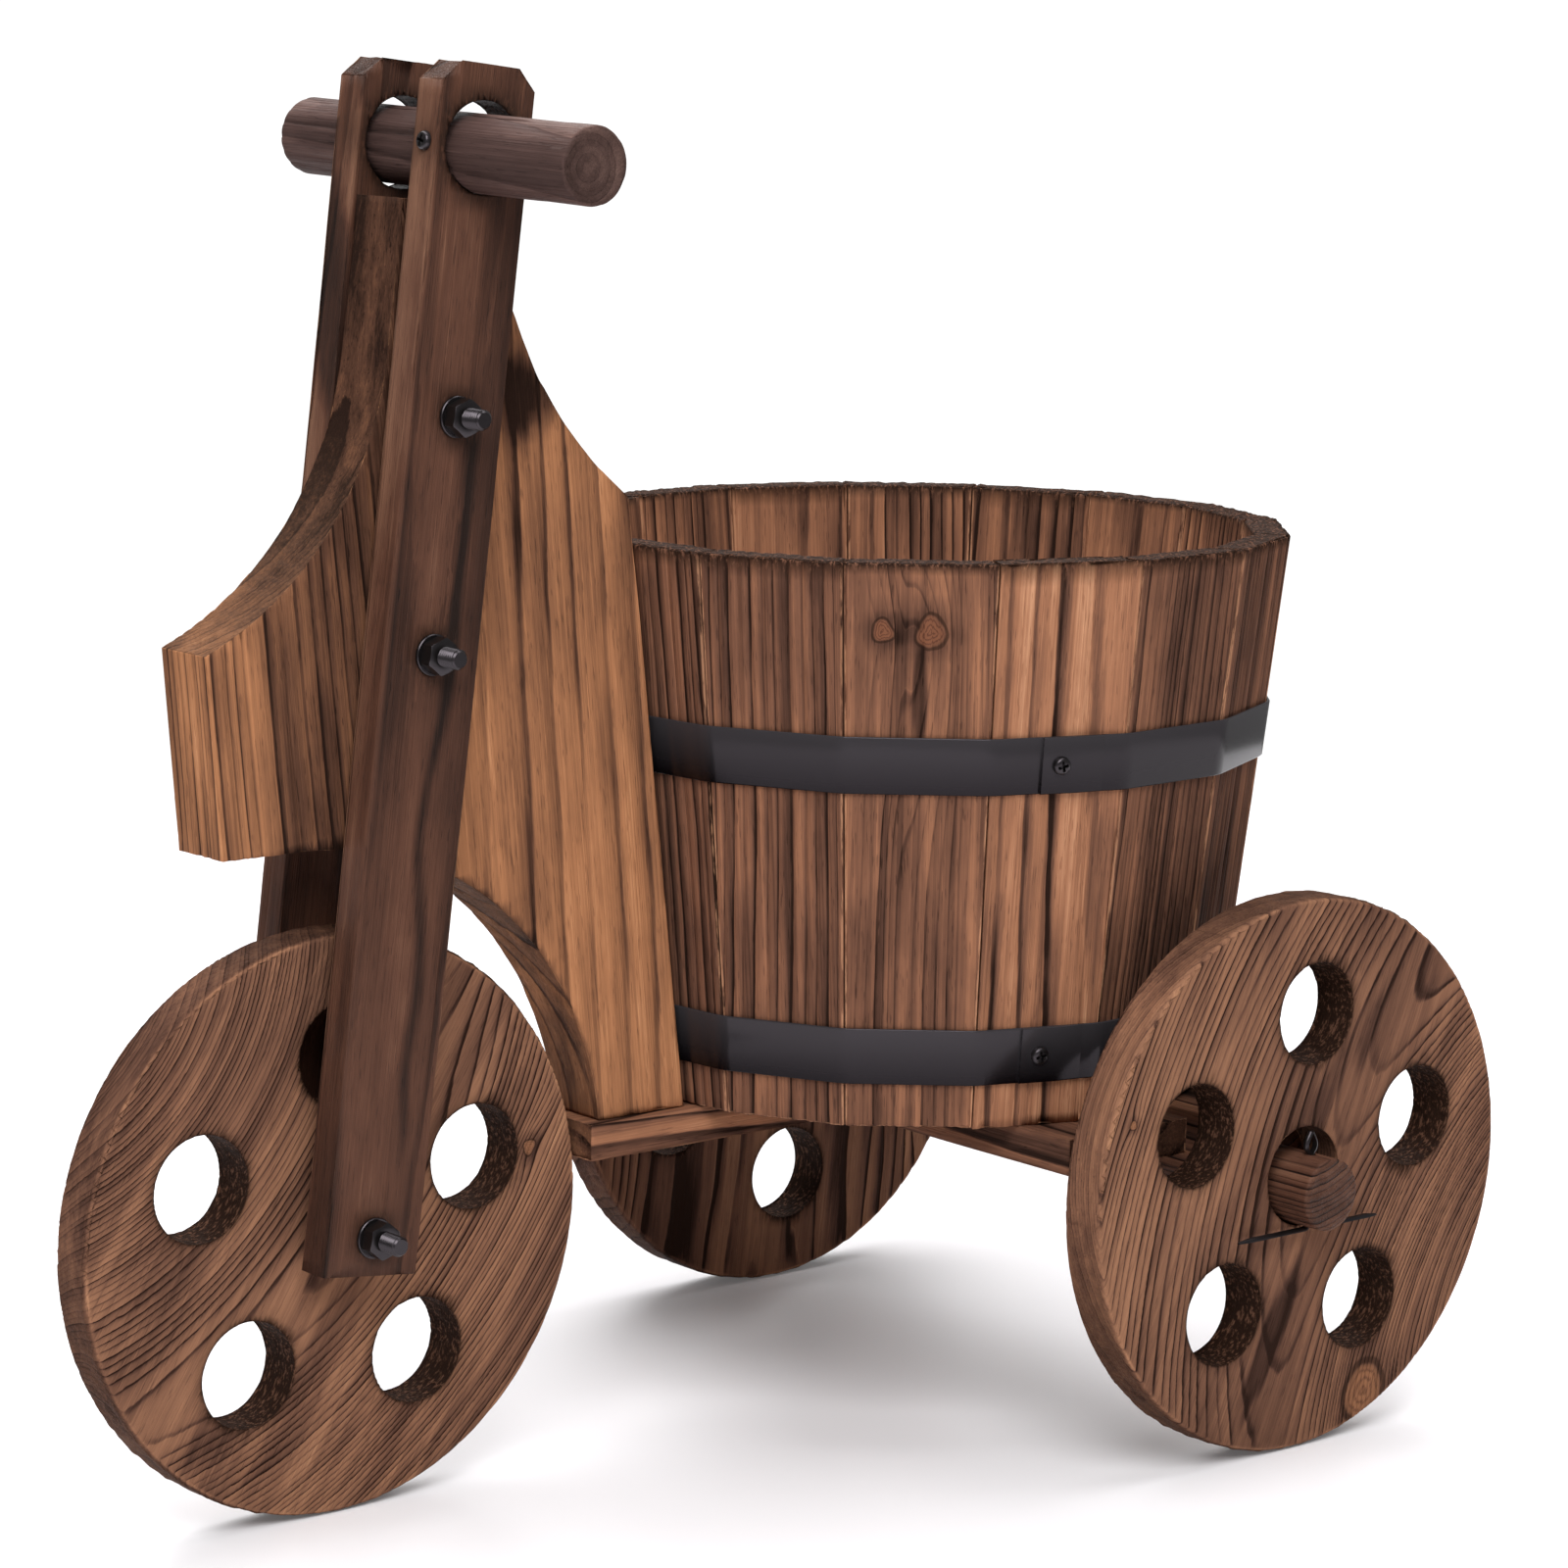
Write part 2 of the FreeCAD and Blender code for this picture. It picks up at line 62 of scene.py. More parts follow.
# Camera of the photograph
camera_target = Vector((-0.0489, 0.0, 0.2644))
camera_distance = 1.9989
camera_azimuth = 40.21
camera_elevation = 9.43
camera_roll = 0.99
image_pixels = 1600
focal_pixels = 4956.6
sensor_mm = 36.0

# Sizes that the construction shares with the looks
wheel_hole_radius = 0.021
wheel_hole_circle = 0.067
wheel_hole_count = 5
wheel_hole_angles = {"front_wheel": 20.4, "rear_wheel_left": 22.1, "rear_wheel_right": 48.0}
stave_count = 16
stave_turn = 4.4
tub_foot_apothem = 0.1285
tub_foot_z = 0.140
tub_height = 0.23
tub_flare = 0.0255
leg_lean = 6.7
handlebar_tilt = 1.5
bar_hole_radius = 0.0175
bar_hole_rise = 0.002
arch_centre = (0.196, 0.124)
arch_radius = 0.1395
band_thickness = 0.0015
band_clearance = 0.0001
band_lap = 0.016
lapped_stave = 4
hex_across_flats = 0.013
bolt_radius = 0.004
bolt_head_height = 0.0053
bolt_clearance = 0.00025
screw_radius = 0.0018
pan_head_height = 0.0024
countersink_depth = 0.0022
pin_radius = 0.0016
pin_eye_half_width = 0.0024
pin_eye_height = 0.0088
pin_leg_length = 0.040
stave_lean = math.degrees(math.atan2(tub_flare, tub_height))

# Shapes of the metal that the looks add
band_edge = 0.0005
band_bend = 0.02
band_bend_steps = 5
band_lap_run = 0.012
# the height of the painted highlight along a band's top edge
band_highlight_edge = 0.0006
hex_chamfer = 30.0
hex_turned_share = 0.97
nut_turn = 20.0
nut_edge = 0.00025
bolt_pitch = 0.00125
bolt_thread_length = 0.022
bolt_end_bevel = 0.0006
bolt_end_inset = 0.0004
washer_bevel = 0.0003
screw_pitch = 0.0013
screw_point = 0.004
pin_eye_steps = 12
pin_bend_steps = 6
pin_round_steps = 8

# Marks on single pieces, among them painted light and shade. A fade runs from its first place to its second.
hole_wall_depth = 0.0012
# where the painted shade on a wheel's rim fades in
rim_painted_shade_fade = (0.0015, 0.0004)
rim_calm_fade = (0.0036, 0.0014)
rim_calm = 0.72
rim_corner = 0.0015
rim_corner_width = 0.0007
rim_fleck = 0.22
stave_top_fade = (0.005, 0.001)
leg_streak_side = -0.0085
leg_streak_width = 0.0022
leg_streak_bend = -0.06
leg_streak_swing = 0.0065
leg_streak_foot = -0.2
leg_streak_top = 0.12
leg_streak_run = 0.03
leg_edge_fade = (0.013, 0.0195)
leg_front_fade = (0.0194, 0.0206)
leg_foot_fade = (0.0, -0.15)
prow_fade = (0.224, 0.196)
ahead_of_fork_fade = (0.165, 0.18)
behind_fork_fade = (0.165, 0.14)
neck_fade = (0.4, 0.46)
neck_front_fade = (0.35, 0.42)
neck_front_edge = (-0.01, 0.005)
body_knot = (0.0955, 0.433)
body_knot_fade = (0.023, 0.006)
arch_skin_fade = (0.0014, 0.0004)

# Studio
world_light = 0.25
world_seen = 1.1
floor_half_side = 1.3
floor_glow = 0.08
floor_tones = ((0.86, 0.845, 0.865), (0.89, 0.875, 0.895))
softboxes = {"key": dict(azimuth=39.0, elevation=42.0, distance=2.3, size=1.4, power=52.0),
             "back": dict(azimuth=215.0, elevation=35.0, distance=2.6, size=1.4, power=18.0),
             "top": dict(azimuth=215.0, elevation=74.0, distance=3.0, size=3.4, power=150.0)}

# Relief and knots of the brushed grain
fuzz_depth = 0.00012
end_wear = 0.0007
edge_wear = 0.0005
knot_free = 3.0
small_knot = 0.0062

# Meshes
weld_distance = 1e-6
fine_distance = 1e-7
flat_angle = 0.5
sharp_angle = 38.0
knot_row = 0.0012
finest_row = 0.0008
coarsest_row = 0.0014
row_length = 0.007
quick_coarsening = 1.0


def smooth_step(low, high, value):
    """Goes from 0 at low to 1 at high without a corner."""
    t = np.clip((value - low) / (high - low), 0.0, 1.0)
    return t * t * (3.0 - 2.0 * t)


def lattice_value(cell, seed):
    """A fixed value from 0 to 1 for each whole-number cell."""
    mask = 0xFFFFFFFF
    mixed = (cell @ np.array([374761393, 668265263, 362437]) + seed * 1274126177) & mask
    mixed = ((mixed ^ (mixed >> 13)) * 1274126177) & mask
    mixed = mixed ^ (mixed >> 16)
    return mixed / mask


def smooth_noise(points, seed):
    """Smooth noise from -1 to 1 that changes over about one unit."""
    base = np.floor(points).astype(np.int64)
    blend = points - base
    blend = blend * blend * (3.0 - 2.0 * blend)
    total = np.zeros(len(points))
    for corner in range(8):
        step = np.array([corner & 1, (corner >> 1) & 1, (corner >> 2) & 1])
        weight = np.where(step == 1, blend, 1.0 - blend).prod(axis=1)
        total += weight * lattice_value(base + step, seed)
    return 2.0 * total - 1.0


def on_line(values):
    """Points on a line, for noise that changes along it alone."""
    zero = np.zeros_like(values)
    return np.stack([values, zero, zero], axis=1)


def groove(phase):
    """Depth share of a brushed-out dark line at a ring phase: a slow fall and a quick rise."""
    part = phase - np.floor(phase)
    return smooth_step(0.35, 0.9, part) * (1.0 - smooth_step(0.93, 1.0, part))


grain_looks = dict(ring=0.006, pith=(0.0, -0.04), pith_slope=(0.0, 0.04), slant=0.0, wobble=0.002, bow=None,
                   spread=(1.0, 1.0), tone=0.45, tone_change=0.2, contrast=1.0, relief=0.0004, end_burn=0.55,
                   knots=(), stains=(), shade=None, calm=None, uneven=1.0, jointed=False, seed=1)


class Grain:
    """The growth rings that run through one board, and how dark the board is burnt.

    ring is the width of a growth ring, and uneven how much it varies. pith is where the tree's middle lies
    across the board and into it, and pith_slope how that changes along the board. slant turns the rings away
    from the face. The lines curve round bow. spread narrows or widens the rings on either side of the pith.
    A knot has a place along and across, a radius, the rings that it pushes aside, and 1 where its heart
    shows. A stain has a place, two half lengths and a depth. shade adds to the tone, and calm says where the
    lines are weaker. The sides of a jointed board aren't brushed.
    """

    def __init__(self, origin, along, across, **looks):
        self.origin = Vector(origin)
        self.along = Vector(along).normalized()
        across = Vector(across)
        self.across = (across - self.along * across.dot(self.along)).normalized()
        self.depth = self.along.cross(self.across)
        for key, value in {**grain_looks, **looks}.items():
            setattr(self, key, value)

    def local(self, points):
        """Lengths along the grain, across it and into the board."""
        axes = np.array([self.along, self.across, self.depth])
        return (points - np.array(self.origin)) @ axes.T

    def ring_phase(self, place):
        """How many rings out from the pith each place lies, and how steeply the rings meet the face."""
        u, v, w = place.T
        wave = smooth_noise(place * (9.0, 28.0, 28.0), self.seed)
        fine = smooth_noise(place * (30.0, 110.0, 110.0), self.seed + 1)
        from_heart = v - self.pith[0] - self.pith_slope[0] * u
        if self.bow is not None:
            heart_radius = math.hypot(self.bow[0], self.bow[1] - self.pith[0])
            from_heart = np.hypot(u - self.bow[0], v - self.bow[1]) - heart_radius
        across = from_heart + self.slant * w + self.wobble * (wave + 0.25 * fine)
        across = across * np.where(across > 0.0, self.spread[0], self.spread[1])
        from_pith = np.hypot(across, w - self.pith[1] - self.pith_slope[1] * u)
        slow = smooth_noise(on_line(from_pith / (5.0 * self.ring)), self.seed + 2)
        quick = smooth_noise(on_line(from_pith / (1.7 * self.ring)), self.seed + 7)
        uneven = self.uneven * (1.3 * slow + 0.5 * quick)
        return from_pith / self.ring + uneven, np.abs(across) / from_pith

    def field(self, points):
        """Place, ring phase, strength of the lines, tone and nearness of a knot at each point."""
        place = self.local(points)
        u, v = place.T[:2]
        phase, steep = self.ring_phase(place)
        strength = self.contrast * (0.3 + 0.7 * smooth_step(0.05, 0.4, steep))
        if self.calm is not None:
            strength = strength * (1.0 - self.calm(points))
        patch = smooth_noise(place * (7.0, 26.0, 26.0), self.seed + 3)
        streak = smooth_noise(place * (2.0, 90.0, 90.0), self.seed + 4)
        tone = self.tone + self.tone_change * (0.48 * patch + 0.52 * streak)
        knot = np.full(len(points), knot_free)
        for knot_u, knot_v, radius, push, heart in self.knots:
            stretched = np.hypot((u - knot_u) / 2.6, v - knot_v)
            phase = phase + push * np.exp(-((stretched / (1.7 * radius)) ** 2))
            turn = np.arctan2(v - knot_v, u - knot_u)
            ragged = 0.16 * smooth_noise(place * 220.0, self.seed + 10) + 0.1 * np.cos(3.0 * turn + self.seed)
            rounder = min(1.0, small_knot / radius)
            reach = np.hypot((u - knot_u) / 1.12, v - knot_v) / radius + rounder ** 2 * ragged
            tone = tone + 0.2 * heart * (1.0 - smooth_step(1.0, 2.6, reach))
            knot = np.minimum(knot, np.where(heart > 0.0, reach, knot_free))
        for stain_u, stain_v, half_u, half_v, depth in self.stains:
            ragged = 0.35 * smooth_noise(place * (40.0, 300.0, 300.0), self.seed + 8)
            reach = np.hypot((u - stain_u) / half_u, (v - stain_v) / half_v) + ragged
            tone = tone + depth * (1.0 - smooth_step(0.55, 1.15, reach))
        if self.shade is not None:
            tone = tone + self.shade(points, place)
        return place, phase, strength, tone, knot


# Mesh tools

def welded_copy(node):
    """A copy of a CAD node's mesh with its doubled points joined."""
    bm = bmesh.new()
    bm.from_mesh(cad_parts[node].data)
    bmesh.ops.remove_doubles(bm, verts=bm.verts, dist=weld_distance)
    return bm


def loose_solids(node):
    """The points of each separate solid of a CAD node."""
    bm = welded_copy(node)
    left = set(bm.verts)
    solids = []
    while left:
        group = {left.pop()}
        front = list(group)
        while front:
            vert = front.pop()
            near = {edge.other_vert(vert) for edge in vert.link_edges} - group
            group |= near
            front.extend(near)
        left -= group
        solids.append(np.array([vert.co for vert in group]))
    bm.free()
    return sorted(solids, key=lambda points: tuple(points.mean(axis=0).round(4)))


def add_rings(bm, rings, capped=True):
    """Skins a row of rings that all have the same number of points, and closes its two ends."""
    made = [[bm.verts.new(point) for point in ring] for ring in rings]
    count = len(made[0])
    for low, high in zip(made, made[1:]):
        for i in range(count):
            j = (i + 1) % count
            bm.faces.new((low[i], low[j], high[j], high[i]))
    if capped:
        bm.faces.new(made[0])
        bm.faces.new(made[-1])


def soften_edges(bm, width, least=25.0):
    """Rounds the edges that turn by more than an angle, and marks them as worn."""
    wear_and_highlight = bm.verts.layers.float.get("wear_and_highlight") or bm.verts.layers.float.new("wear_and_highlight")
    edges = [e for e in bm.edges if e.is_manifold and least < math.degrees(e.calc_face_angle()) < 180.0]
    made = bmesh.ops.bevel(bm, geom=edges, offset=width, offset_type="OFFSET", segments=2,
                           profile=0.5, affect="EDGES", clamp_overlap=True)
    rounded = set(made["faces"])
    for vert in made["verts"]:
        if all(face in rounded for face in vert.link_faces):
            vert[wear_and_highlight] = 1.0


def slice_faces(bm, faces, direction, planes):
    """Cuts faces by parallel planes, halving the work at each cut."""
    if not planes or not faces:
        return
    half = len(planes) // 2
    edges = list({edge for face in faces for edge in face.edges})
    cut = bmesh.ops.bisect_plane(bm, geom=faces + edges, dist=fine_distance,
                                 plane_co=direction * planes[half], plane_no=direction)
    parts = [item for item in cut["geom"] if isinstance(item, bmesh.types.BMFace)]
    below = [face for face in parts if direction.dot(face.calc_center_median()) < planes[half]]
    above = [face for face in parts if direction.dot(face.calc_center_median()) >= planes[half]]
    slice_faces(bm, below, direction, planes[:half])
    slice_faces(bm, above, direction, planes[half + 1:])


def slice_rows(bm, direction, step, low=-math.inf, high=math.inf):
    """Gives a mesh rows of vertices a step apart along a direction, between two places on it."""
    reach = [direction.dot(vert.co) for vert in bm.verts]
    first = math.ceil(max(min(reach), low) / step)
    last = math.floor(min(max(reach), high) / step)
    slice_faces(bm, bm.faces[:], direction, [i * step for i in range(first, last + 1)])


def place_object(name, data):
    made = bpy.data.objects.new(name, data)
    bpy.context.scene.collection.objects.link(made)
    return made


def mesh_object(name, bm, body, material, replaced):
    """Turns a bmesh into a smooth-shaded piece that rides on a body."""
    mesh = bpy.data.meshes.new(name)
    bmesh.ops.recalc_face_normals(bm, faces=bm.faces)
    for face in bm.faces:
        face.smooth = True
    for edge in bm.edges:
        edge.smooth = not edge.is_manifold or edge.calc_face_angle() < math.radians(sharp_angle)
    bm.to_mesh(mesh)
    bm.free()
    mesh.materials.append(material)
    piece = place_object(name, mesh)
    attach(piece, body)
    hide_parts(*replaced)
    return piece


def read_points(owner, key):
    """Coordinates or normals of a mesh as rows of three."""
    values = np.zeros(len(owner) * 3, np.float32)
    owner.foreach_get(key, values)
    return values.reshape(-1, 3).astype(float)


def write_grain(piece, grain, char=None):
    """Writes the rings on a piece, brushes its dark lines out and wears its edges."""
    mesh = piece.data
    points = read_points(mesh.vertices, "co")
    normals = read_points(mesh.vertex_normals, "vector")
    worn = np.zeros(len(points), np.float32)
    mesh.attributes["wear_and_highlight"].data.foreach_get("value", worn)
    place, phase, strength, tone, knot = grain.field(points)
    end_grain = smooth_step(0.35, 0.9, np.abs(normals @ np.array(grain.along)))
    burnt = grain.end_burn * end_grain
    if char is not None:
        burnt = np.maximum(burnt, char(points))
    ring_cell = on_line(np.floor(phase)).astype(np.int64)
    ring_depth = 0.25 + 0.75 * lattice_value(ring_cell, grain.seed)
    sunk = grain.relief * groove(phase) * ring_depth * (1.0 - 0.6 * end_grain)
    sunk += fuzz_depth * (0.5 + 0.5 * smooth_noise(place * (60.0, 420.0, 420.0), grain.seed + 5))
    sunk += end_wear * end_grain * (0.5 + 0.5 * smooth_noise(place * 260.0, grain.seed + 6))
    sunk += edge_wear * worn * (0.5 + 0.5 * smooth_noise(place * (90.0, 20.0, 20.0), grain.seed + 9))
    if grain.jointed:
        sunk *= 1.0 - smooth_step(0.5, 0.9, np.abs(normals @ np.array(grain.across)))
    moved = points - normals * sunk[:, None]
    mesh.vertices.foreach_set("co", moved.astype(np.float32).ravel())
    looks = dict(ring=phase, tone=tone, knot=knot, burnt=burnt, contrast=strength)
    for name, values in looks.items():
        layer = mesh.attributes.new(name, "FLOAT", "POINT")
        layer.data.foreach_set("value", values.astype(np.float32))
    layer = mesh.attributes.new("grain", "FLOAT_VECTOR", "POINT")
    layer.data.foreach_set("vector", place.astype(np.float32).ravel())
    mesh.update()


def wood_piece(node, grain, material, body="frame", rounding=0.0012, char=None, along_step=row_length):
    """A board with softened edges and brushed grain in the place of its CAD node."""
    bm = welded_copy(node)
    bmesh.ops.dissolve_limit(bm, angle_limit=math.radians(flat_angle), verts=bm.verts, edges=bm.edges)
    soften_edges(bm, rounding)
    bmesh.ops.triangulate(bm, faces=bm.faces[:])
    across_step = quick_coarsening * min(max(grain.ring / 5.0, finest_row), coarsest_row)
    slice_rows(bm, grain.across, across_step)
    slice_rows(bm, grain.depth, 2.0 * across_step)
    slice_rows(bm, grain.along, quick_coarsening * along_step)
    start = grain.along.dot(grain.origin)
    for knot_u, knot_v, radius, push, heart in grain.knots:
        if heart > 0.0:
            low = start + knot_u - 1.6 * radius
            high = start + knot_u + 1.6 * radius
            slice_rows(bm, grain.along, knot_row, low, high)
    piece = mesh_object(node + "_wood", bm, body, material, [node])
    write_grain(piece, grain, char)


# Material tools

class Shader:
    """A material's nodes, with short calls that add and join them."""

    def __init__(self, name):
        self.material = bpy.data.materials.new(name)
        self.material.use_nodes = True
        self.tree = self.material.node_tree
        self.surface = self.tree.nodes["Principled BSDF"]

    def join(self, source, target):
        """Links an output, or sets a plain value."""
        if isinstance(source, bpy.types.NodeSocket):
            self.tree.links.new(source, target)
        else:
            target.default_value = source

    def node(self, kind, inputs=None, **settings):
        """Adds a node, with values or links for its inputs."""
        made = self.tree.nodes.new("ShaderNode" + kind)
        for key, value in settings.items():
            setattr(made, key, value)
        for key, value in (inputs or {}).items():
            self.join(value, made.inputs[key])
        return made

    def set(self, key, value):
        """Gives an input of the surface a value or a link."""
        self.join(value, self.surface.inputs[key])

    def attribute(self, name, output="Fac"):
        return self.node("Attribute", attribute_name=name).outputs[output]

    def math(self, operation, first, second=0.0, third=0.0):
        made = self.node("Math", operation=operation)
        for socket, value in zip(made.inputs, (first, second, third)):
            self.join(value, socket)
        return made.outputs[0]

    def product(self, first, *others):
        for other in others:
            first = self.math("MULTIPLY", first, other)
        return first

    def noise(self, place, scale, detail, roughness):
        scaled = self.node("Mapping", {"Vector": place, "Scale": scale}).outputs["Vector"]
        inputs = {"Vector": scaled, "Scale": 1.0, "Detail": detail, "Roughness": roughness}
        return self.node("TexNoise", inputs).outputs["Fac"]

    def ramp(self, value, stops):
        made = self.node("ValToRGB", {"Fac": value})
        ramp = made.color_ramp
        while len(ramp.elements) < len(stops):
            ramp.elements.new(0.5)
        for element, (position, colour) in zip(ramp.elements, stops):
            element.position = position
            element.color = (*colour, 1.0)
        return made.outputs["Color"]

    def level(self, value, low, high):
        """0 below low, 1 above high."""
        inputs = {"Value": value, "From Min": low, "From Max": high}
        return self.node("MapRange", inputs, interpolation_type="SMOOTHSTEP").outputs["Result"]

    def mix(self, share, first, second):
        made = self.node("Mix", {"Factor": share}, data_type="RGBA")
        colour_inputs = [socket for socket in made.inputs if socket.type == "RGBA"]
        for socket, value in zip(colour_inputs, (first, second)):
            self.join(value if isinstance(value, bpy.types.NodeSocket) else (*value, 1.0), socket)
        return [socket for socket in made.outputs if socket.type == "RGBA"][0]

    def bump(self, height, strength, distance):
        inputs = {"Height": height, "Strength": strength, "Distance": distance}
        return self.node("Bump", inputs).outputs["Normal"]


charcoal = (0.02, 0.01, 0.0065)
grey_char = (0.06, 0.036, 0.025)
red_knot = ((0.21, 0.084, 0.045), (0.06, 0.022, 0.015))
brown_knot = ((0.3, 0.135, 0.068), (0.095, 0.039, 0.023))
line_profile = [(0.02, 0.0), (0.5, 0.08), (0.76, 0.32), (0.87, 1.0), (0.94, 0.9), (0.99, 0.0)]
ring_tone_change = 0.16
pit_depth = 0.14
scratch_depth = 0.12
knot_ring_width = 0.13
knot_outline = 0.97


def wood_material(name, tones, line_depth, streak_depth, mottle_depth=0.2, soot_tone=charcoal,
                  knot_tones=red_knot, roughness=0.64, gloss=0.02):
    """Charred, brushed softwood: growth lines, streaks, fibres, soot, knots and pale worn edges."""
    s = Shader(name)
    grain = s.attribute("grain", "Vector")

    def grain_noise(along, across, detail, finer_share=0.5):
        """Noise drawn out along the grain."""
        return s.noise(grain, (along, across, across), detail, finer_share)

    def spread_noise(along, across, detail):
        """The same, stretched to run from -0.5 to 0.5."""
        return s.math("SUBTRACT", s.level(grain_noise(along, across, detail, 0.6), 0.28, 0.72), 0.5)

    phase = s.math("MULTIPLY_ADD", grain_noise(30.0, 300.0, 3.0), 0.2, s.attribute("ring"))
    line = s.ramp(s.math("FRACT", phase), [(place, (share,) * 3) for place, share in line_profile])
    white = s.node("TexWhiteNoise", {"W": s.math("FLOOR", phase)}, noise_dimensions="1D")
    ring_chance = white.outputs["Value"]
    fade = s.math("ADD", spread_noise(9.0, 60.0, 2.0), 1.0)
    strength = s.product(s.math("MULTIPLY_ADD", ring_chance, 0.9, 0.4), fade, s.attribute("contrast"))
    line = s.product(line, strength)

    streak = spread_noise(2.5, 230.0, 4.0)
    fibre = spread_noise(11.0, 1000.0, 3.0)
    mottle = spread_noise(16.0, 60.0, 4.0)
    pit = s.level(grain_noise(110.0, 1500.0, 1.0), 0.64, 0.72)
    scratch = s.level(grain_noise(28.0, 1900.0, 1.0), 0.66, 0.73)
    tone = s.math("MULTIPLY_ADD", s.math("SUBTRACT", ring_chance, 0.5), ring_tone_change, s.attribute("tone"))
    for value, depth in ((line, line_depth), (streak, streak_depth), (fibre, 0.55 * streak_depth),
                         (mottle, mottle_depth), (pit, pit_depth), (scratch, -scratch_depth)):
        tone = s.math("MULTIPLY_ADD", value, depth, tone)
    colour = s.ramp(tone, [(i / (len(tones) - 1), c) for i, c in enumerate(tones)])

    knot = s.attribute("knot")
    knot_ring = s.math("PINGPONG", s.math("MULTIPLY_ADD", fibre, 0.12, knot), knot_ring_width)
    knot_line = s.level(knot_ring, 0.05, knot_ring_width)
    knot_colour = s.mix(s.product(knot_line, 0.7), *knot_tones)
    disc = s.product(s.math("SUBTRACT", 1.0, s.level(knot, 0.6, 1.0)), 0.75)
    colour = s.mix(disc, colour, knot_colour)
    from_outline = s.math("ABSOLUTE", s.math("SUBTRACT", knot, knot_outline))
    outline = s.math("SUBTRACT", 1.0, s.level(from_outline, 0.05, 0.16))
    colour = s.mix(s.product(outline, 0.65), colour, soot_tone)

    clump = s.level(grain_noise(260.0, 700.0, 3.0, 0.6), 0.1, 0.42)
    fluff = s.level(grain_noise(300.0, 700.0, 3.0, 0.6), 0.5, 0.68)
    burnt = s.attribute("burnt")
    soot = s.product(burnt, clump)
    colour = s.mix(soot, colour, soot_tone)
    colour = s.mix(s.product(soot, fluff, 0.7), colour, tones[2])
    chips = s.level(grain_noise(45.0, 260.0, 4.0, 0.7), 0.43, 0.57)
    bare = s.math("MULTIPLY_ADD", burnt, -0.8, 0.8)
    colour = s.mix(s.product(s.attribute("wear_and_highlight"), chips, bare), colour, tones[0])
    s.set("Base Color", colour)

    height = s.math("MULTIPLY_ADD", line, -0.8, s.product(fibre, 0.4))
    height = s.math("MULTIPLY_ADD", streak, -0.3, height)
    height = s.math("MULTIPLY_ADD", pit, -0.3, height)
    s.set("Normal", s.bump(height, 0.7, 0.0006))
    s.set("Roughness", s.math("MULTIPLY_ADD", fibre, 0.15, roughness))
    s.set("Specular IOR Level", gloss)
    return s.material


def black_metal(name, colour, roughness, gloss, cloudiness, worn_edge_and_highlight_colour):
    """Black finish on steel: faint unevenness, slightly brighter worn edges, and a painted highlight along
    the top edge of each band.
    """
    s = Shader(name)
    place = s.node("NewGeometry").outputs["Position"]
    cloud = s.noise(place, (60.0,) * 3, 4.0, 0.6)
    grit = s.noise(place, (1400.0,) * 3, 2.0, 0.5)
    clouded = s.product(s.level(cloud, 0.3, 0.8), cloudiness)
    base = s.mix(clouded, colour, tuple(2.5 * c for c in colour))
    # worn edges on the nuts, and a painted highlight along the top edge of each band
    worn = s.product(s.attribute("wear_and_highlight"), 0.5)
    s.set("Base Color", s.mix(worn, base, worn_edge_and_highlight_colour))
    s.set("Roughness", s.math("MULTIPLY_ADD", cloud, 0.4 * cloudiness, roughness))
    s.set("Normal", s.bump(grit, 0.06, 0.0002))
    s.set("Specular IOR Level", gloss)
    s.set("Specular Tint", (1.0, 0.88, 0.98, 1.0))
    return s.material


wheel_tones = [(0.45, 0.235, 0.128), (0.29, 0.142, 0.081), (0.16, 0.077, 0.048), (0.072, 0.035, 0.0245),
               (0.022, 0.0105, 0.007)]
tub_tones = [(0.52, 0.265, 0.15), (0.33, 0.148, 0.08), (0.175, 0.08, 0.0485), (0.08, 0.0385, 0.026),
             (0.02, 0.01, 0.007)]
honey_tones = [(0.58, 0.29, 0.145), (0.38, 0.167, 0.078), (0.2, 0.089, 0.046), (0.085, 0.039, 0.024),
               (0.02, 0.01, 0.007)]
dark_tones = [(0.32, 0.175, 0.104), (0.18, 0.088, 0.054), (0.098, 0.0428, 0.0268), (0.05, 0.0225, 0.015),
              (0.016, 0.009, 0.007)]
bar_tones = [(0.26, 0.16, 0.13), (0.135, 0.08, 0.068), (0.072, 0.042, 0.037), (0.04, 0.023, 0.02),
             (0.016, 0.01, 0.009)]
wheel_wood = wood_material("wheel_wood", wheel_tones, line_depth=0.72, streak_depth=0.14, mottle_depth=0.16,
                           knot_tones=brown_knot)
tub_wood = wood_material("tub_wood", tub_tones, line_depth=0.54, streak_depth=0.24)
honey_wood = wood_material("honey_wood", honey_tones, line_depth=0.3, streak_depth=0.18, soot_tone=grey_char)
dark_wood = wood_material("dark_wood", dark_tones, line_depth=0.2, streak_depth=0.1, roughness=0.5, gloss=0.1)
bar_wood = wood_material("bar_wood", bar_tones, line_depth=0.15, streak_depth=0.16, mottle_depth=0.16,
                         roughness=0.6, gloss=0.06)
band_black = black_metal("band_black", (0.002, 0.0014, 0.0018), roughness=0.15, gloss=0.2, cloudiness=0.05,
                         worn_edge_and_highlight_colour=(0.06, 0.055, 0.06))
fastener_black = black_metal("fastener_black", (0.004, 0.0036, 0.0034), roughness=0.24, gloss=0.5,
                             cloudiness=0.3, worn_edge_and_highlight_colour=(0.06, 0.054, 0.05))


def tilted(angle):
    """A direction in the X-Z plane, leaning back from the vertical by an angle."""
    turn = math.radians(angle)
    return Vector((-math.sin(turn), 0.0, math.cos(turn)))


def middle(node):
    low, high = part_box(node)
    return (low + high) / 2.0


# Wheels

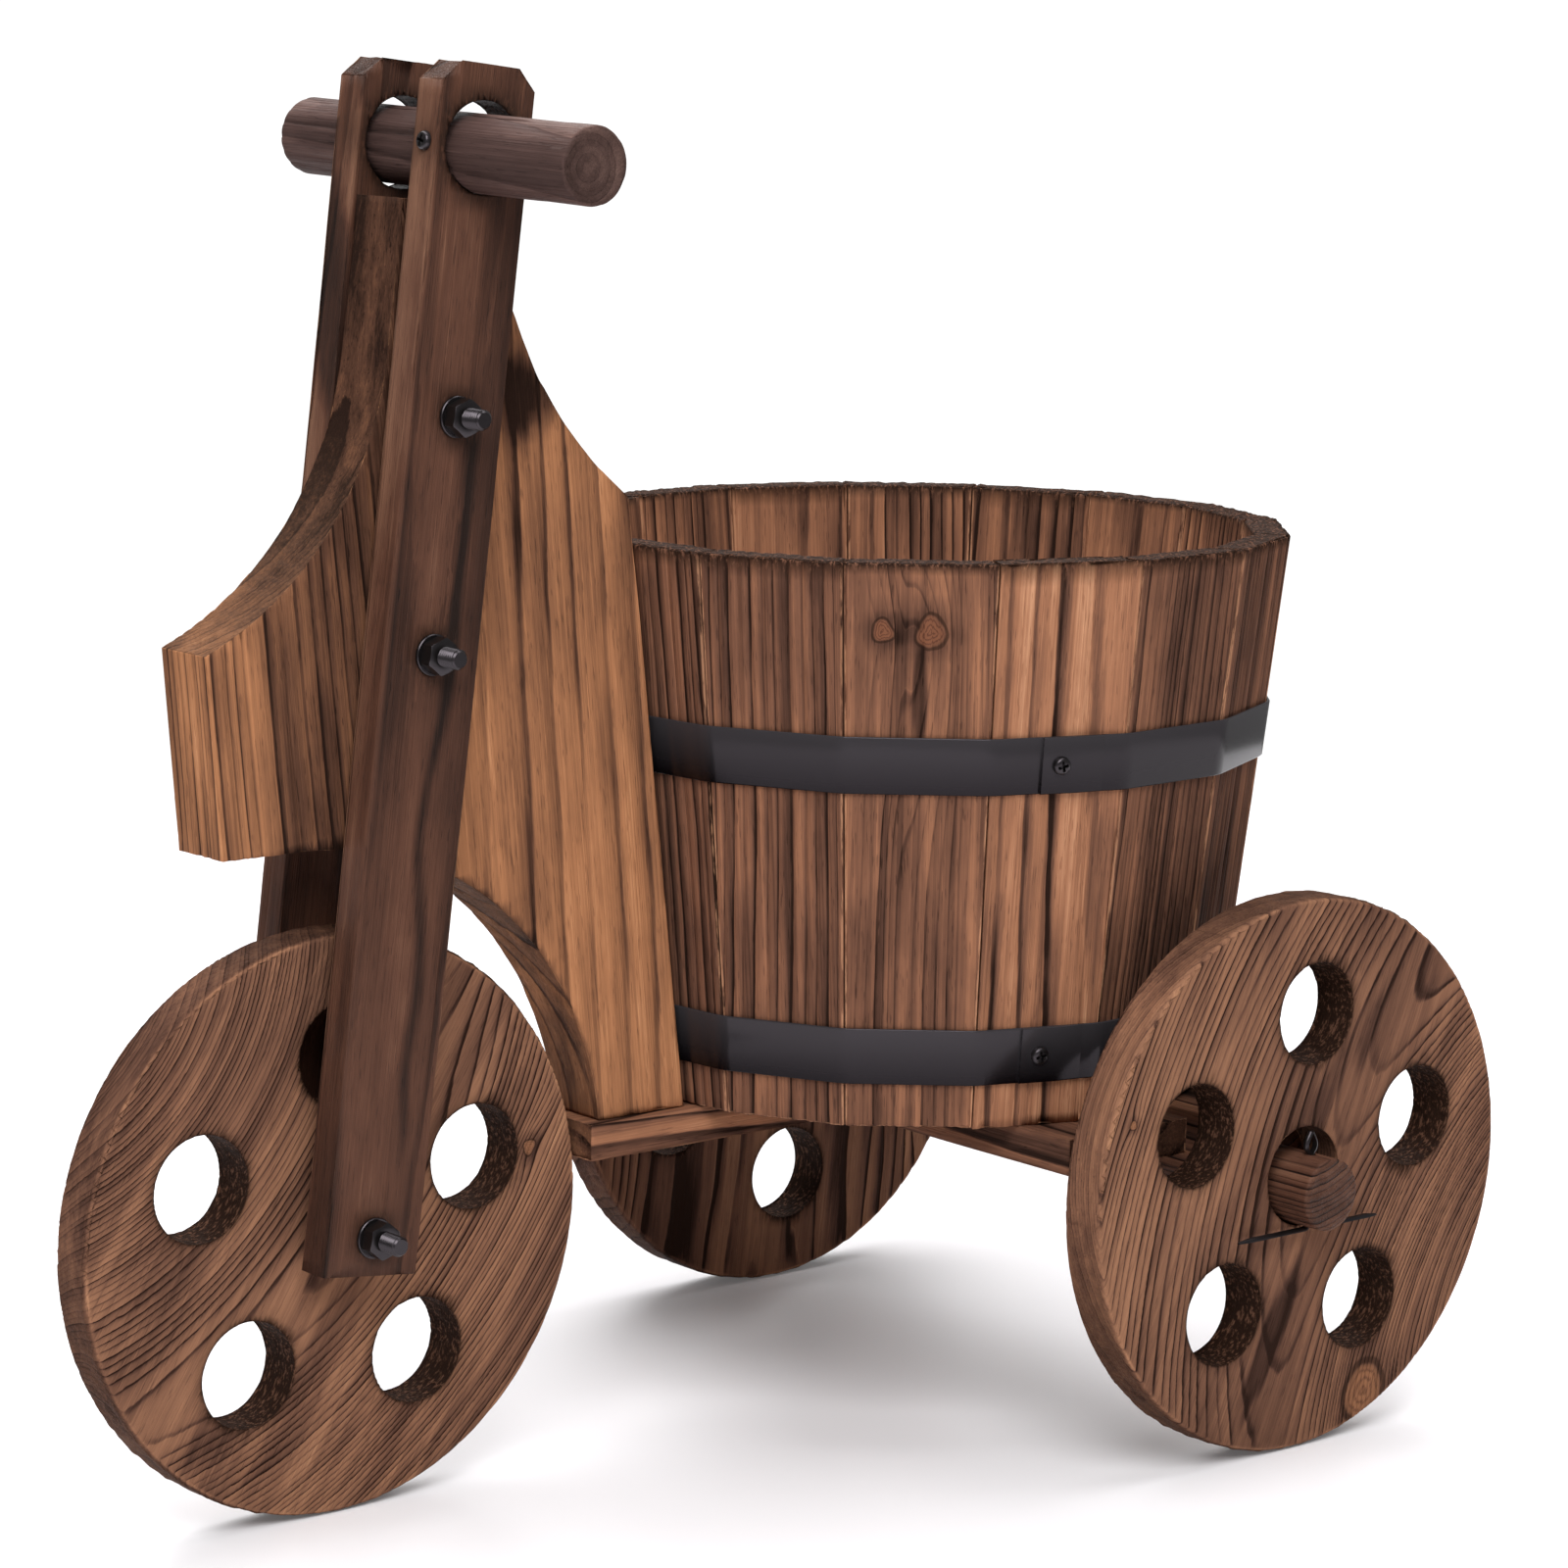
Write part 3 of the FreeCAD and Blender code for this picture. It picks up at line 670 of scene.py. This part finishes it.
def soot_round(holes, halo_share, halo_width):
    """Soot on the walls of holes that run along Y, fading on the faces round them."""

    def char(points):
        gaps = [np.hypot(points[:, 0] - x, points[:, 2] - z) - radius for x, z, radius in holes]
        gap = np.min(gaps, axis=0)
        wall = 1.0 - smooth_step(0.0, hole_wall_depth, gap)
        halo = 1.0 - smooth_step(0.0, halo_width, gap)
        return wall + halo_share * halo * (1.0 - wall)

    return char


def wheel_holes(node):
    centre = middle(node)
    first = math.radians(wheel_hole_angles[node])
    turns = [first + math.tau * i / wheel_hole_count for i in range(wheel_hole_count)]
    return [(centre.x + wheel_hole_circle * math.cos(turn), centre.z + wheel_hole_circle * math.sin(turn),
             wheel_hole_radius) for turn in turns]


def make_wheel(node, angle, rim_painted_shade, bow=None, knots=(), stains=(), **looks):
    """A wheel whose grain leans by an angle. The bow, knots and stains are given by places on its face."""
    grain = Grain(middle(node), tilted(angle), (1, 0, 0), **looks)
    low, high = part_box(node)
    radius = (high.z - low.z) / 2.0

    def from_rim(points):
        return radius - np.hypot(points[:, 0] - grain.origin.x, points[:, 2] - grain.origin.z)

    def shade(points, place):
        """Painted shade that darkens the rim against the faces, with pale flecks where it turns into the
        faces.
        """
        # painted shade: the rim is darkened against the faces
        rim = smooth_step(*rim_painted_shade_fade, from_rim(points))
        corner = np.exp(-(((from_rim(points) - rim_corner) / rim_corner_width) ** 2))
        flecks = smooth_step(-0.1, 0.5, smooth_noise(place * 75.0, grain.seed + 11))
        return rim_painted_shade * rim - rim_fleck * corner * flecks

    def calm(points):
        """Fainter lines on the rim and on the corner that leads to it."""
        return rim_calm * smooth_step(*rim_calm_fade, from_rim(points))

    def along_and_across(x, z):
        return grain.local(np.array([[x, grain.origin.y, z]]))[0][:2]

    grain.shade = shade
    grain.calm = calm
    grain.bow = along_and_across(*bow) if bow else None
    grain.knots = [(*along_and_across(x, z), *rest) for x, z, *rest in knots]
    grain.stains = [(*along_and_across(x, z), *rest) for x, z, *rest in stains]
    soot = soot_round(wheel_holes(node), halo_share=0.3, halo_width=0.006)
    wood_piece(node, grain, wheel_wood, body=node, char=soot)


curved_grain = dict(pith_slope=(0.0, 0.05), slant=1.0, wobble=0.0014, relief=0.0003)
# The number after each wheel's angle is the painted shade that darkens its rim.
make_wheel("front_wheel", 32.5, 0.2, bow=(0.325, 0.245), ring=0.0018, pith=(-0.0168, -0.035), uneven=0.5,
           tone=0.41, contrast=1.1, seed=11, **curved_grain,
           knots=[(0.0885, 0.133, 0.0033, 2.0, 1.0), (0.12, 0.189, 0.016, 3.0, 0.0)],
           stains=[(0.258, 0.11, 0.024, 0.018, 0.04), (0.2376, 0.0443, 0.018, 0.01, 0.24),
                   (0.1, 0.15, 0.02, 0.01, 0.15), (0.165, 0.036, 0.05, 0.05, 0.09)])
make_wheel("rear_wheel_left", 22.8, 0.07, bow=(-0.41, 0.0), ring=0.0016, pith=(-0.0056, -0.035), uneven=0.55,
           spread=(0.6, 1.0), tone=0.4, contrast=1.08, seed=21, **curved_grain,
           knots=[(-0.2206, 0.0173, 0.0122, 4.0, 1.0), (-0.083, 0.1494, 0.0018, 0.8, 1.0)],
           stains=[(-0.1635, 0.0481, 0.036, 0.008, 0.4), (-0.2153, 0.1715, 0.022, 0.005, 0.26),
                   (-0.1907, 0.144, 0.03, 0.007, 0.26)])
make_wheel("rear_wheel_right", 6.0, 0.15, ring=0.008, pith=(0.0, 0.04), pith_slope=(0.03, 0.05), wobble=0.01,
           tone=0.45, tone_change=0.25, contrast=1.5, seed=31)


# Tub

tub_middle = middle("tub_floor")
stave_looks = {
    1: dict(tone=0.6, ring=0.0045, pith=(0.09, -0.03)),
    2: dict(tone=0.54, ring=0.0042, pith=(-0.09, -0.03), contrast=0.9),
    3: dict(tone=0.61, ring=0.0034, pith=(0.1, -0.06), contrast=0.42,
            knots=[(0.0885, -0.0138, 0.0045, 1.0, 1.0), (0.0885, 0.0048, 0.0062, 1.6, 1.0),
                   (0.062, 0.002, 0.011, 2.4, 0.0)],
            stains=[(0.0885, -0.004, 0.007, 0.018, 0.08), (0.064, 0.001, 0.022, 0.0035, 0.34)]),
    4: dict(tone=0.22, ring=0.011, pith=(0.05, -0.07), tone_change=0.28, contrast=0.9),
    5: dict(tone=0.71, ring=0.0036, pith=(-0.1, -0.02), contrast=0.8),
    6: dict(tone=0.63, ring=0.004, pith=(0.1, -0.02), contrast=0.7),
    8: dict(tone=0.43, ring=0.0045, pith=(0.1, -0.03), contrast=1.3),
    9: dict(tone=0.32, ring=0.009, pith=(0.03, -0.06), contrast=0.6),
    10: dict(tone=0.4, ring=0.006, pith=(0.06, -0.05), stains=[(0.1, 0.0, 0.08, 0.008, 0.35)]),
    11: dict(tone=0.38, ring=0.006, pith=(-0.08, -0.03), contrast=1.3),
    12: dict(tone=0.34, ring=0.008, pith=(0.02, -0.06), contrast=0.7),
    13: dict(tone=0.38, ring=0.005, pith=(0.08, -0.04)),
}


def stave_axes(number):
    """The way out of a stave's face, and sideways along it."""
    turn = math.radians(stave_turn + 360.0 / stave_count * (number - 1))
    return Vector((math.cos(turn), math.sin(turn), 0.0)), Vector((-math.sin(turn), math.cos(turn), 0.0))


def make_stave(number):
    node = f"stave_{number:02d}"
    outward, sideways = stave_axes(number)
    lean = math.radians(stave_lean)
    along = outward * math.sin(lean) + Vector((0, 0, math.cos(lean)))
    chance = np.random.default_rng(100 + number)
    looks = dict(tone=0.3 + 0.2 * chance.random(), ring=0.0035 + 0.005 * chance.random(),
                 pith=(0.25 * (chance.random() - 0.5), -0.02 - 0.05 * chance.random()),
                 tone_change=0.26, relief=0.0008)
    looks.update(stave_looks.get(number, {}))
    grain = Grain(middle(node), along, sideways, pith_slope=(0.01, 0.03), jointed=True,
                  seed=200 + 10 * number, **looks)
    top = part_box(node)[1].z

    def char(points):
        return smooth_step(*(top - below for below in stave_top_fade), points[:, 2])

    wood_piece(node, grain, tub_wood, char=char)


for number in range(1, stave_count + 1):
    make_stave(number)
floor_grain = Grain(tub_middle, (0, 1, 0), (1, 0, 0), tone=0.45, seed=41)
wood_piece("tub_floor", floor_grain, tub_wood, along_step=0.02)


# Base

base_looks = {"base_board": ((1, 0, 0), (0, 1, 0), 0.36, 51),
              "axle_board": ((0, 1, 0), (1, 0, 0), 0.5, 61),
              "front_cross_board": ((0, 1, 0), (1, 0, 0), 0.5, 71)}
for node, (along, across, tone, seed) in base_looks.items():
    grain = Grain(middle(node), along, across, tone=tone, seed=seed)
    wood_piece(node, grain, tub_wood, rounding=0.003)


# Fork and body

def leg_shade(points, place):
    """A blurred black streak, darker long edges, painted light on the front edge that faces the key light,
    fading to a slightly darker edge at the foot, and a lighter tone towards the foot.
    """
    u, v = place.T[:2]
    bend = np.exp(-(((u - leg_streak_bend) / leg_streak_run) ** 2))
    line = leg_streak_side + leg_streak_swing * bend + 0.0015 * smooth_noise(on_line(34.0 * u), 83)
    width = leg_streak_width + 0.001 * smooth_noise(on_line(22.0 * u), 84)
    reach = smooth_step(leg_streak_foot, leg_streak_foot + leg_streak_run, u)
    reach = reach * smooth_step(leg_streak_top, leg_streak_top - leg_streak_run, u)
    streak = np.exp(-(((v - line) / width) ** 2)) * reach
    edge = smooth_step(*leg_edge_fade, np.abs(v))
    front = smooth_step(*leg_front_fade, v)
    foot = smooth_step(*leg_foot_fade, u)
    # painted light: the front edge that faces the key light is lighter at the top and a little darker at the
    # foot; the whole leg turns lighter towards the foot
    return 0.34 * streak + 0.12 * edge - (0.3 - 0.36 * foot) * front - 0.13 * foot


def far_leg_shade(points, place):
    """The same, with flame-shaped burns across the front edge."""
    u, v, w = place.T
    front = smooth_step(*leg_front_fade, v)
    slanted = np.stack([24.0 * u + 45.0 * w, 50.0 * w, np.zeros_like(u)], axis=1)
    flame = smooth_step(-0.05, 0.3, smooth_noise(slanted, 94))
    return leg_shade(points, place) + 0.42 * front * flame


def leg_soot():
    """Soot in the handlebar's hole, and a faint dark ring on the face round each nut."""
    bar = middle("handlebar")
    holes = [(bar.x, bar.z + bar_hole_rise, bar_hole_radius)]
    for points in loose_solids("bolt_nuts"):
        centre = points.mean(axis=0)
        holes.append((centre[0], centre[2], hex_across_flats / 2.0))
    return soot_round(holes, halo_share=0.75, halo_width=0.008)


for node, seed, relief, shade in (("fork_leg_left", 81, 0.0002, leg_shade),
                                  ("fork_leg_right", 91, 0.0006, far_leg_shade)):
    grain = Grain(middle(node), tilted(leg_lean), (1, 0, 0), ring=0.011, pith=(0.004, -0.02), tone=0.585,
                  relief=relief, shade=shade, seed=seed)
    wood_piece(node, grain, dark_wood, rounding=0.0022, char=leg_soot())


def body_shade(points, place):
    """Painted shade on the board next to the fork legs, darker wood ahead of the fork, on the neck and under
    the arch, and a burnt knot behind the neck.
    """
    x = points[:, 0]
    z = points[:, 2]
    lean = math.radians(leg_lean)
    axle = middle("front_wheel")
    ahead_of_leg = (x - axle.x) * math.cos(lean) + (z - axle.z) * math.sin(lean)
    neck_front = smooth_step(*neck_front_edge, ahead_of_leg) * smooth_step(*neck_front_fade, z)
    # painted shade on the board next to the front of the fork legs, fading out ahead of them and behind them
    shaded_prow = smooth_step(*prow_fade, x) * (1.0 - smooth_step(*behind_fork_fade, x)) * (1.0 - neck_front)
    ragged = 0.006 * smooth_noise(place * (50.0, 220.0, 220.0), 103)
    from_knot = np.hypot(x - body_knot[0], z - body_knot[1]) + ragged
    above_arch = np.hypot(x - arch_centre[0], z - arch_centre[1]) - arch_radius
    shade = 0.34 * shaded_prow + 0.1 * smooth_step(*neck_fade, z) + 0.46 * neck_front
    shade += 0.6 * smooth_step(*body_knot_fade, from_knot) + 0.24 * smooth_step(*arch_skin_fade, above_arch)
    return shade + 0.05 * smooth_step(*ahead_of_fork_fade, x)


body_grain = Grain(middle("body_board"), tilted(-6.0), (1, 0, 0), ring=0.012, pith=(0.0405, -0.05),
                   pith_slope=(0.0, 0.03), slant=1.6, spread=(2.2, 1.0), tone=0.303, relief=0.0006,
                   shade=body_shade, seed=101)
wood_piece("body_board", body_grain, honey_wood)


def make_dowel(node, material, direction, across, **looks):
    grain = Grain(middle(node), direction, across, ring=0.0028, wobble=0.0008, **looks)
    wood_piece(node, grain, material, rounding=0.001)


bar_turn = math.radians(handlebar_tilt)
make_dowel("handlebar", bar_wood, (0.0, -math.cos(bar_turn), math.sin(bar_turn)), (1, 0, 0),
           pith=(0.004, 0.003), tone=0.46, contrast=0.5, end_burn=0.42, seed=111)
make_dowel("rear_axle", dark_wood, (0, 1, 0), (0, 0, 1), pith=(0.06, 0.01), tone=0.46, contrast=2.6,
           end_burn=0.2, seed=121)


# Bands

def make_band(node):
    """A steel strip with rounded edges, bent round the staves, with one end lapped over the other."""
    low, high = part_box(node)
    rise = math.tan(math.radians(stave_lean))
    half = band_thickness / 2.0

    def apothem(height):
        """From the tub's axis to the middle of the strip, on a flat side."""
        return tub_foot_apothem + (height - tub_foot_z) * rise + band_clearance + half

    outline = []
    for corner_u, corner_h, first in ((half, 1, 0), (-half, 1, 90), (-half, -1, 180), (half, -1, 270)):
        for part in range(4):
            turn = math.radians(first + 30.0 * part)
            across = math.copysign(half - band_edge, corner_u) + band_edge * math.cos(turn)
            along = corner_h * (0.5 * (high.z - low.z) - band_edge) + band_edge * math.sin(turn)
            outline.append((across, along))
    bm = bmesh.new()
    wear_and_highlight = bm.verts.layers.float.new("wear_and_highlight")
    step = math.tau / stave_count
    middle_z = (low.z + high.z) / 2.0
    rings = []
    for corner in range(stave_count):
        joint = math.radians(stave_turn) + (corner + 0.5) * step
        for part in range(band_bend_steps + 1):
            normal = joint + step * (part / band_bend_steps - 0.5)
            ring = []
            for across, along in outline:
                corner_radius = (apothem(middle_z + along) - band_bend) / math.cos(step / 2.0)
                reach = band_bend + across
                ring.append((tub_middle.x + corner_radius * math.cos(joint) + reach * math.cos(normal),
                             tub_middle.y + corner_radius * math.sin(joint) + reach * math.sin(normal),
                             middle_z + along))
            rings.append(ring)
    rings.append(rings[0])
    add_rings(bm, rings, capped=False)
    bmesh.ops.remove_doubles(bm, verts=bm.verts, dist=weld_distance)
    outward, sideways = stave_axes(lapped_stave)
    lap = []
    for place, lift in ((-band_lap / 2.0, 1.0), (band_lap / 2.0, 1.0), (band_lap / 2.0 + band_lap_run, -0.1)):
        lap.append([Vector((tub_middle.x, tub_middle.y, middle_z + along)) + sideways * place
                    + outward * (apothem(middle_z + along) + across + lift * band_thickness)
                    for across, along in outline])
    add_rings(bm, lap)
    for vert in bm.verts:
        # painted highlight: a lighter line along the band's top edge
        vert[wear_and_highlight] = 1.0 if vert.co.z > high.z - band_highlight_edge else 0.0
    mesh_object(node + "_steel", bm, "frame", band_black, [node])


make_band("upper_band")
make_band("lower_band")


# Fasteners

class Axis:
    """A line with two cross directions, on which round and six-sided things are built."""

    def __init__(self, origin, direction, sideways=(0, 0, 1)):
        self.origin = Vector(origin)
        self.direction = Vector(direction).normalized()
        self.first = Vector(sideways).cross(self.direction).normalized()
        self.second = self.direction.cross(self.first)

    def point(self, radius, angle, height):
        turn = self.first * math.cos(angle) + self.second * math.sin(angle)
        return self.origin + turn * radius + self.direction * height

    def ring(self, radius, height, count=36):
        return [self.point(radius, math.tau * i / count, height) for i in range(count)]


def add_hexagon(bm, axis, low, high, bore, corner):
    """A nut or a bolt head: six flats with the corners turned off on a cone."""
    count = 48
    flat = hex_across_flats / 2.0
    turned = hex_turned_share * flat
    turns = [math.tau * i / count for i in range(count)]
    sixth = math.pi / 3.0
    radii = [flat / math.cos(((turn - corner) % sixth) - sixth / 2.0) for turn in turns]
    drops = [(radius - turned) * math.tan(math.radians(hex_chamfer)) for radius in radii]
    flush = [0.0] * count
    profile = [([bore] * count, flush), ([turned] * count, flush), (radii, drops)]

    def ring(wide, deep, end, inwards):
        return [axis.point(r, t, end + inwards * d) for r, t, d in zip(wide, turns, deep)]

    rings = [ring(*row, low, 1.0) for row in profile]
    add_rings(bm, rings + [ring(*row, high, -1.0) for row in reversed(profile)])


def add_thread(bm, axis, low, high, radius, pitch, point_length):
    """A threaded rod whose end tapers over a length."""
    around = 36
    per_turn = 8
    depth = 0.55 * pitch
    rows = max(int((high - low) / pitch * per_turn), 4)
    rings = []
    for row in range(rows + 1):
        height = low + (high - low) * row / rows
        taper = min(1.0, 0.25 + 0.75 * (high - height) / point_length) if point_length else 1.0
        ring = []
        for i in range(around):
            turn = math.tau * i / around
            part = (height / pitch - i / around) % 1.0
            cut = depth * (1.0 - abs(2.0 * part - 1.0)) * min(1.0, (height - low) / pitch)
            ring.append(axis.point((radius - cut) * taper, turn, height))
        rings.append(ring)
    add_rings(bm, rings)


def cross_recess(x, y, reach):
    """Depth share of a cross-shaped recess at a point of a screw head."""
    half_width = 0.17 * reach

    def arm(side, run):
        width = smooth_step(1.5 * half_width, half_width, abs(side))
        return width * smooth_step(reach, 0.8 * reach, abs(run))

    return max(arm(x, y), arm(y, x))


def add_screw(bm, axis, head_radius, head_height, length, domed):
    """A wood screw: a pan or countersunk head with a cross recess, and a tapered thread."""
    around = 64
    steps = 18
    rings = []
    for step in range(steps + 1):
        share = max(step / steps, 0.02)
        ring = []
        for i in range(around):
            turn = math.tau * i / around
            x = head_radius * share * math.cos(turn)
            y = head_radius * share * math.sin(turn)
            dome = head_height * (1.0 - share ** 4.0) ** 0.4 if domed else 0.0
            dip = 0.75 * head_height * cross_recess(x, y, 0.62 * head_radius)
            ring.append(axis.point(head_radius * share, turn, dome - dip))
        rings.append(ring)
    if not domed:
        rings.append(axis.ring(screw_radius, -head_height, around))
    add_rings(bm, rings)
    add_thread(bm, Axis(axis.origin, -axis.direction), 0.0, length, screw_radius, screw_pitch, screw_point)


def screw_axis(points):
    """The outward axis of a CAD screw from the top of its head, with its length and head radius."""
    centre = points.mean(axis=0)
    direction = Vector(np.linalg.svd(points - centre)[2][0])
    heights = (points - centre) @ np.array(direction)
    radii = np.linalg.norm(points - centre - np.outer(heights, direction), axis=1)
    if heights[radii.argmax()] < 0.0:
        direction = -direction
        heights = -heights
    line = centre + np.array(direction) * heights.max()
    return Axis(line, direction, (0.3, 0.2, 0.9)), heights.max() - heights.min(), radii.max()


def solid_boxes(node):
    """The low and the high corner of each separate solid."""
    return [(points.min(axis=0), points.max(axis=0)) for points in loose_solids(node)]


def make_fastener(node, bm):
    mesh_object(node + "_black", bm, "frame", fastener_black, [node])


def make_screws(node, domed):
    bm = bmesh.new()
    for points in loose_solids(node):
        axis, length, head_radius = screw_axis(points)
        head = pan_head_height if domed else countersink_depth
        if domed:
            axis.origin = axis.origin - axis.direction * head
        add_screw(bm, axis, head_radius, head, length - head, domed)
    bmesh.ops.remove_doubles(bm, verts=bm.verts, dist=fine_distance)
    make_fastener(node, bm)


def make_nuts(node):
    bm = bmesh.new()
    for low, high in solid_boxes(node):
        half = (high - low)[1] / 2.0
        add_hexagon(bm, Axis((low + high) / 2.0, (0, 1, 0)), -half, half, bolt_radius, math.radians(nut_turn))
    soften_edges(bm, nut_edge, least=30.0)
    make_fastener(node, bm)


def make_bolts(node):
    bm = bmesh.new()
    for low, high in solid_boxes(node):
        axis = Axis(((low[0] + high[0]) / 2.0, 0.0, (low[2] + high[2]) / 2.0), (0, 1, 0))
        head = low[1] + bolt_head_height
        thread = high[1] - bolt_thread_length
        end = high[1] - bolt_end_bevel
        end_radius = bolt_radius - bolt_end_inset
        add_hexagon(bm, axis, low[1], head, 0.5 * bolt_radius, 0.0)
        add_rings(bm, [axis.ring(bolt_radius, head), axis.ring(bolt_radius, thread)])
        add_thread(bm, axis, thread, end, bolt_radius, bolt_pitch, 0.0)
        add_rings(bm, [axis.ring(end_radius, end), axis.ring(end_radius - bolt_end_bevel, high[1])])
    make_fastener(node, bm)


def make_washers(node):
    """Flat washers or thick spacers: rings with turned edges."""
    bm = bmesh.new()
    for low, high in solid_boxes(node):
        axis = Axis((low + high) / 2.0, (0, 1, 0))
        half = (high[1] - low[1]) / 2.0
        radius = (high[0] - low[0]) / 2.0
        bore = bolt_radius + bolt_clearance
        profile = [(bore, half), (radius - washer_bevel, half), (radius, half - washer_bevel)]
        rings = [axis.ring(r, -h) for r, h in profile] + [axis.ring(r, h) for r, h in reversed(profile)]
        add_rings(bm, rings + rings[:1], capped=False)
    bmesh.ops.remove_doubles(bm, verts=bm.verts, dist=fine_distance)
    make_fastener(node, bm)


def pin_path(side, top, bottom):
    """One half of a split pin in its own plane: the eye, the stem, the bend and the spread leg."""
    path = []
    for step in range(pin_eye_steps + 1):
        share = step / pin_eye_steps
        bulge = math.sin(math.pi * share ** 1.3) ** 0.8 if 0 < step < pin_eye_steps else 0.0
        path.append((side * pin_eye_half_width * bulge, top + pin_eye_height * (1.0 - share)))
    bend = 2.0 * pin_radius
    for step in range(pin_bend_steps + 1):
        turn = math.pi / 2.0 * step / pin_bend_steps
        path.append((side * bend * (1.0 - math.cos(turn)), bottom + bend * (1.0 - math.sin(turn))))
    for share in (0.6, 0.85, 1.0):
        path.append((side * share * pin_leg_length, bottom))
    return path


def add_half_round(bm, path, side, x, y):
    """Sweeps a half-round strip along a path, flat side inwards, with a tapered end."""
    rings = []
    for i, (px, pz) in enumerate(path):
        before = path[max(i - 1, 0)]
        after = path[min(i + 1, len(path) - 1)]
        run = Vector((after[0] - before[0], 0.0, after[1] - before[1])).normalized()
        outward = Vector((-run.z, 0.0, run.x)) * side
        size = pin_radius * (0.45 if i == len(path) - 1 else 0.8 if i < pin_eye_steps else 1.0)
        ring = []
        for step in range(pin_round_steps + 1):
            turn = math.pi * (step / pin_round_steps - 0.5)
            aside = Vector((0, size * math.sin(turn), 0))
            ring.append(Vector((x + px, y, pz)) + outward * (size * math.cos(turn)) + aside)
        rings.append(ring)
    add_rings(bm, rings)


def make_pins(node):
    bm = bmesh.new()
    axle_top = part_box("rear_axle")[1].z
    for low, high in solid_boxes(node):
        x = (low[0] + high[0]) / 2.0
        y = (low[1] + high[1]) / 2.0
        for side in (-1, 1):
            add_half_round(bm, pin_path(side, axle_top, low[2]), side, x, y)
    make_fastener(node, bm)


for node in ("band_screws", "handlebar_screw"):
    make_screws(node, True)
for node in ("foot_screws", "floor_screws", "axle_screws"):
    make_screws(node, False)
make_nuts("bolt_nuts")
make_bolts("front_axle_bolt")
make_bolts("fork_bolts")
make_washers("bolt_washers")
make_washers("fork_spacers")
make_pins("split_pins")


# Floor, light and camera

def make_floor():
    s = Shader("floor_white")
    cloud = s.noise(s.node("NewGeometry").outputs["Position"], (3.0,) * 3, 2.0, 0.5)
    s.set("Base Color", s.mix(cloud, *floor_tones))
    s.set("Roughness", 0.35)
    s.set("Specular IOR Level", 0.3)
    s.set("Emission Color", (1.0, 0.99, 1.0, 1.0))
    s.set("Emission Strength", floor_glow)
    bm = bmesh.new()
    bmesh.ops.create_grid(bm, x_segments=1, y_segments=1, size=floor_half_side)
    mesh = bpy.data.meshes.new("floor")
    bm.to_mesh(mesh)
    bm.free()
    mesh.materials.append(s.material)
    floor = place_object("floor", mesh)


def direction_at(azimuth, elevation):
    """A direction by its turn from Y towards X and its rise."""
    turn = math.radians(azimuth)
    rise = math.radians(elevation)
    return Vector((math.sin(turn) * math.cos(rise), math.cos(turn) * math.cos(rise), math.sin(rise)))


def add_softbox(name, azimuth, elevation, distance, size, power):
    """A square soft light that faces the middle of the object."""
    away = direction_at(azimuth, elevation)
    light = bpy.data.lights.new(name, "AREA")
    light.shape = "SQUARE"
    light.size = size
    light.energy = power
    lamp = place_object(name, light)
    lamp.location = (cad_low + cad_high) / 2.0 + away * distance
    lamp.rotation_euler = away.to_track_quat("Z", "Y").to_euler()


def make_light():
    """A white studio: a world that is white to look at and dim as a light, with large soft boxes."""
    world = bpy.data.worlds.new("studio")
    world.use_nodes = True
    tree = world.node_tree
    background = tree.nodes["Background"]
    background.inputs["Color"].default_value = (1.0, 1.0, 1.0, 1.0)
    seen = tree.nodes.new("ShaderNodeLightPath")
    strength = tree.nodes.new("ShaderNodeMapRange")
    strength.inputs["To Min"].default_value = world_light
    strength.inputs["To Max"].default_value = world_seen
    tree.links.new(seen.outputs["Is Camera Ray"], strength.inputs["Value"])
    tree.links.new(strength.outputs["Result"], background.inputs["Strength"])
    bpy.context.scene.world = world
    for name, place in softboxes.items():
        add_softbox(name, **place)
    bpy.context.scene.view_settings.view_transform = "Standard"


def make_camera():
    back = direction_at(camera_azimuth, camera_elevation)
    roll = math.radians(camera_roll)
    right = (-back).cross(Vector((0, 0, 1))).normalized()
    up = right.cross(-back)
    rolled_right = right * math.cos(roll) + up * math.sin(roll)
    rolled_up = up * math.cos(roll) - right * math.sin(roll)
    data = bpy.data.cameras.new("camera")
    data.sensor_width = sensor_mm
    data.lens = focal_pixels / image_pixels * sensor_mm
    camera = place_object("camera", data)
    camera.matrix_world = Matrix((rolled_right, rolled_up, back)).transposed().to_4x4()
    camera.location = camera_target + back * camera_distance
    bpy.context.scene.camera = camera


make_floor()
make_light()
make_camera()
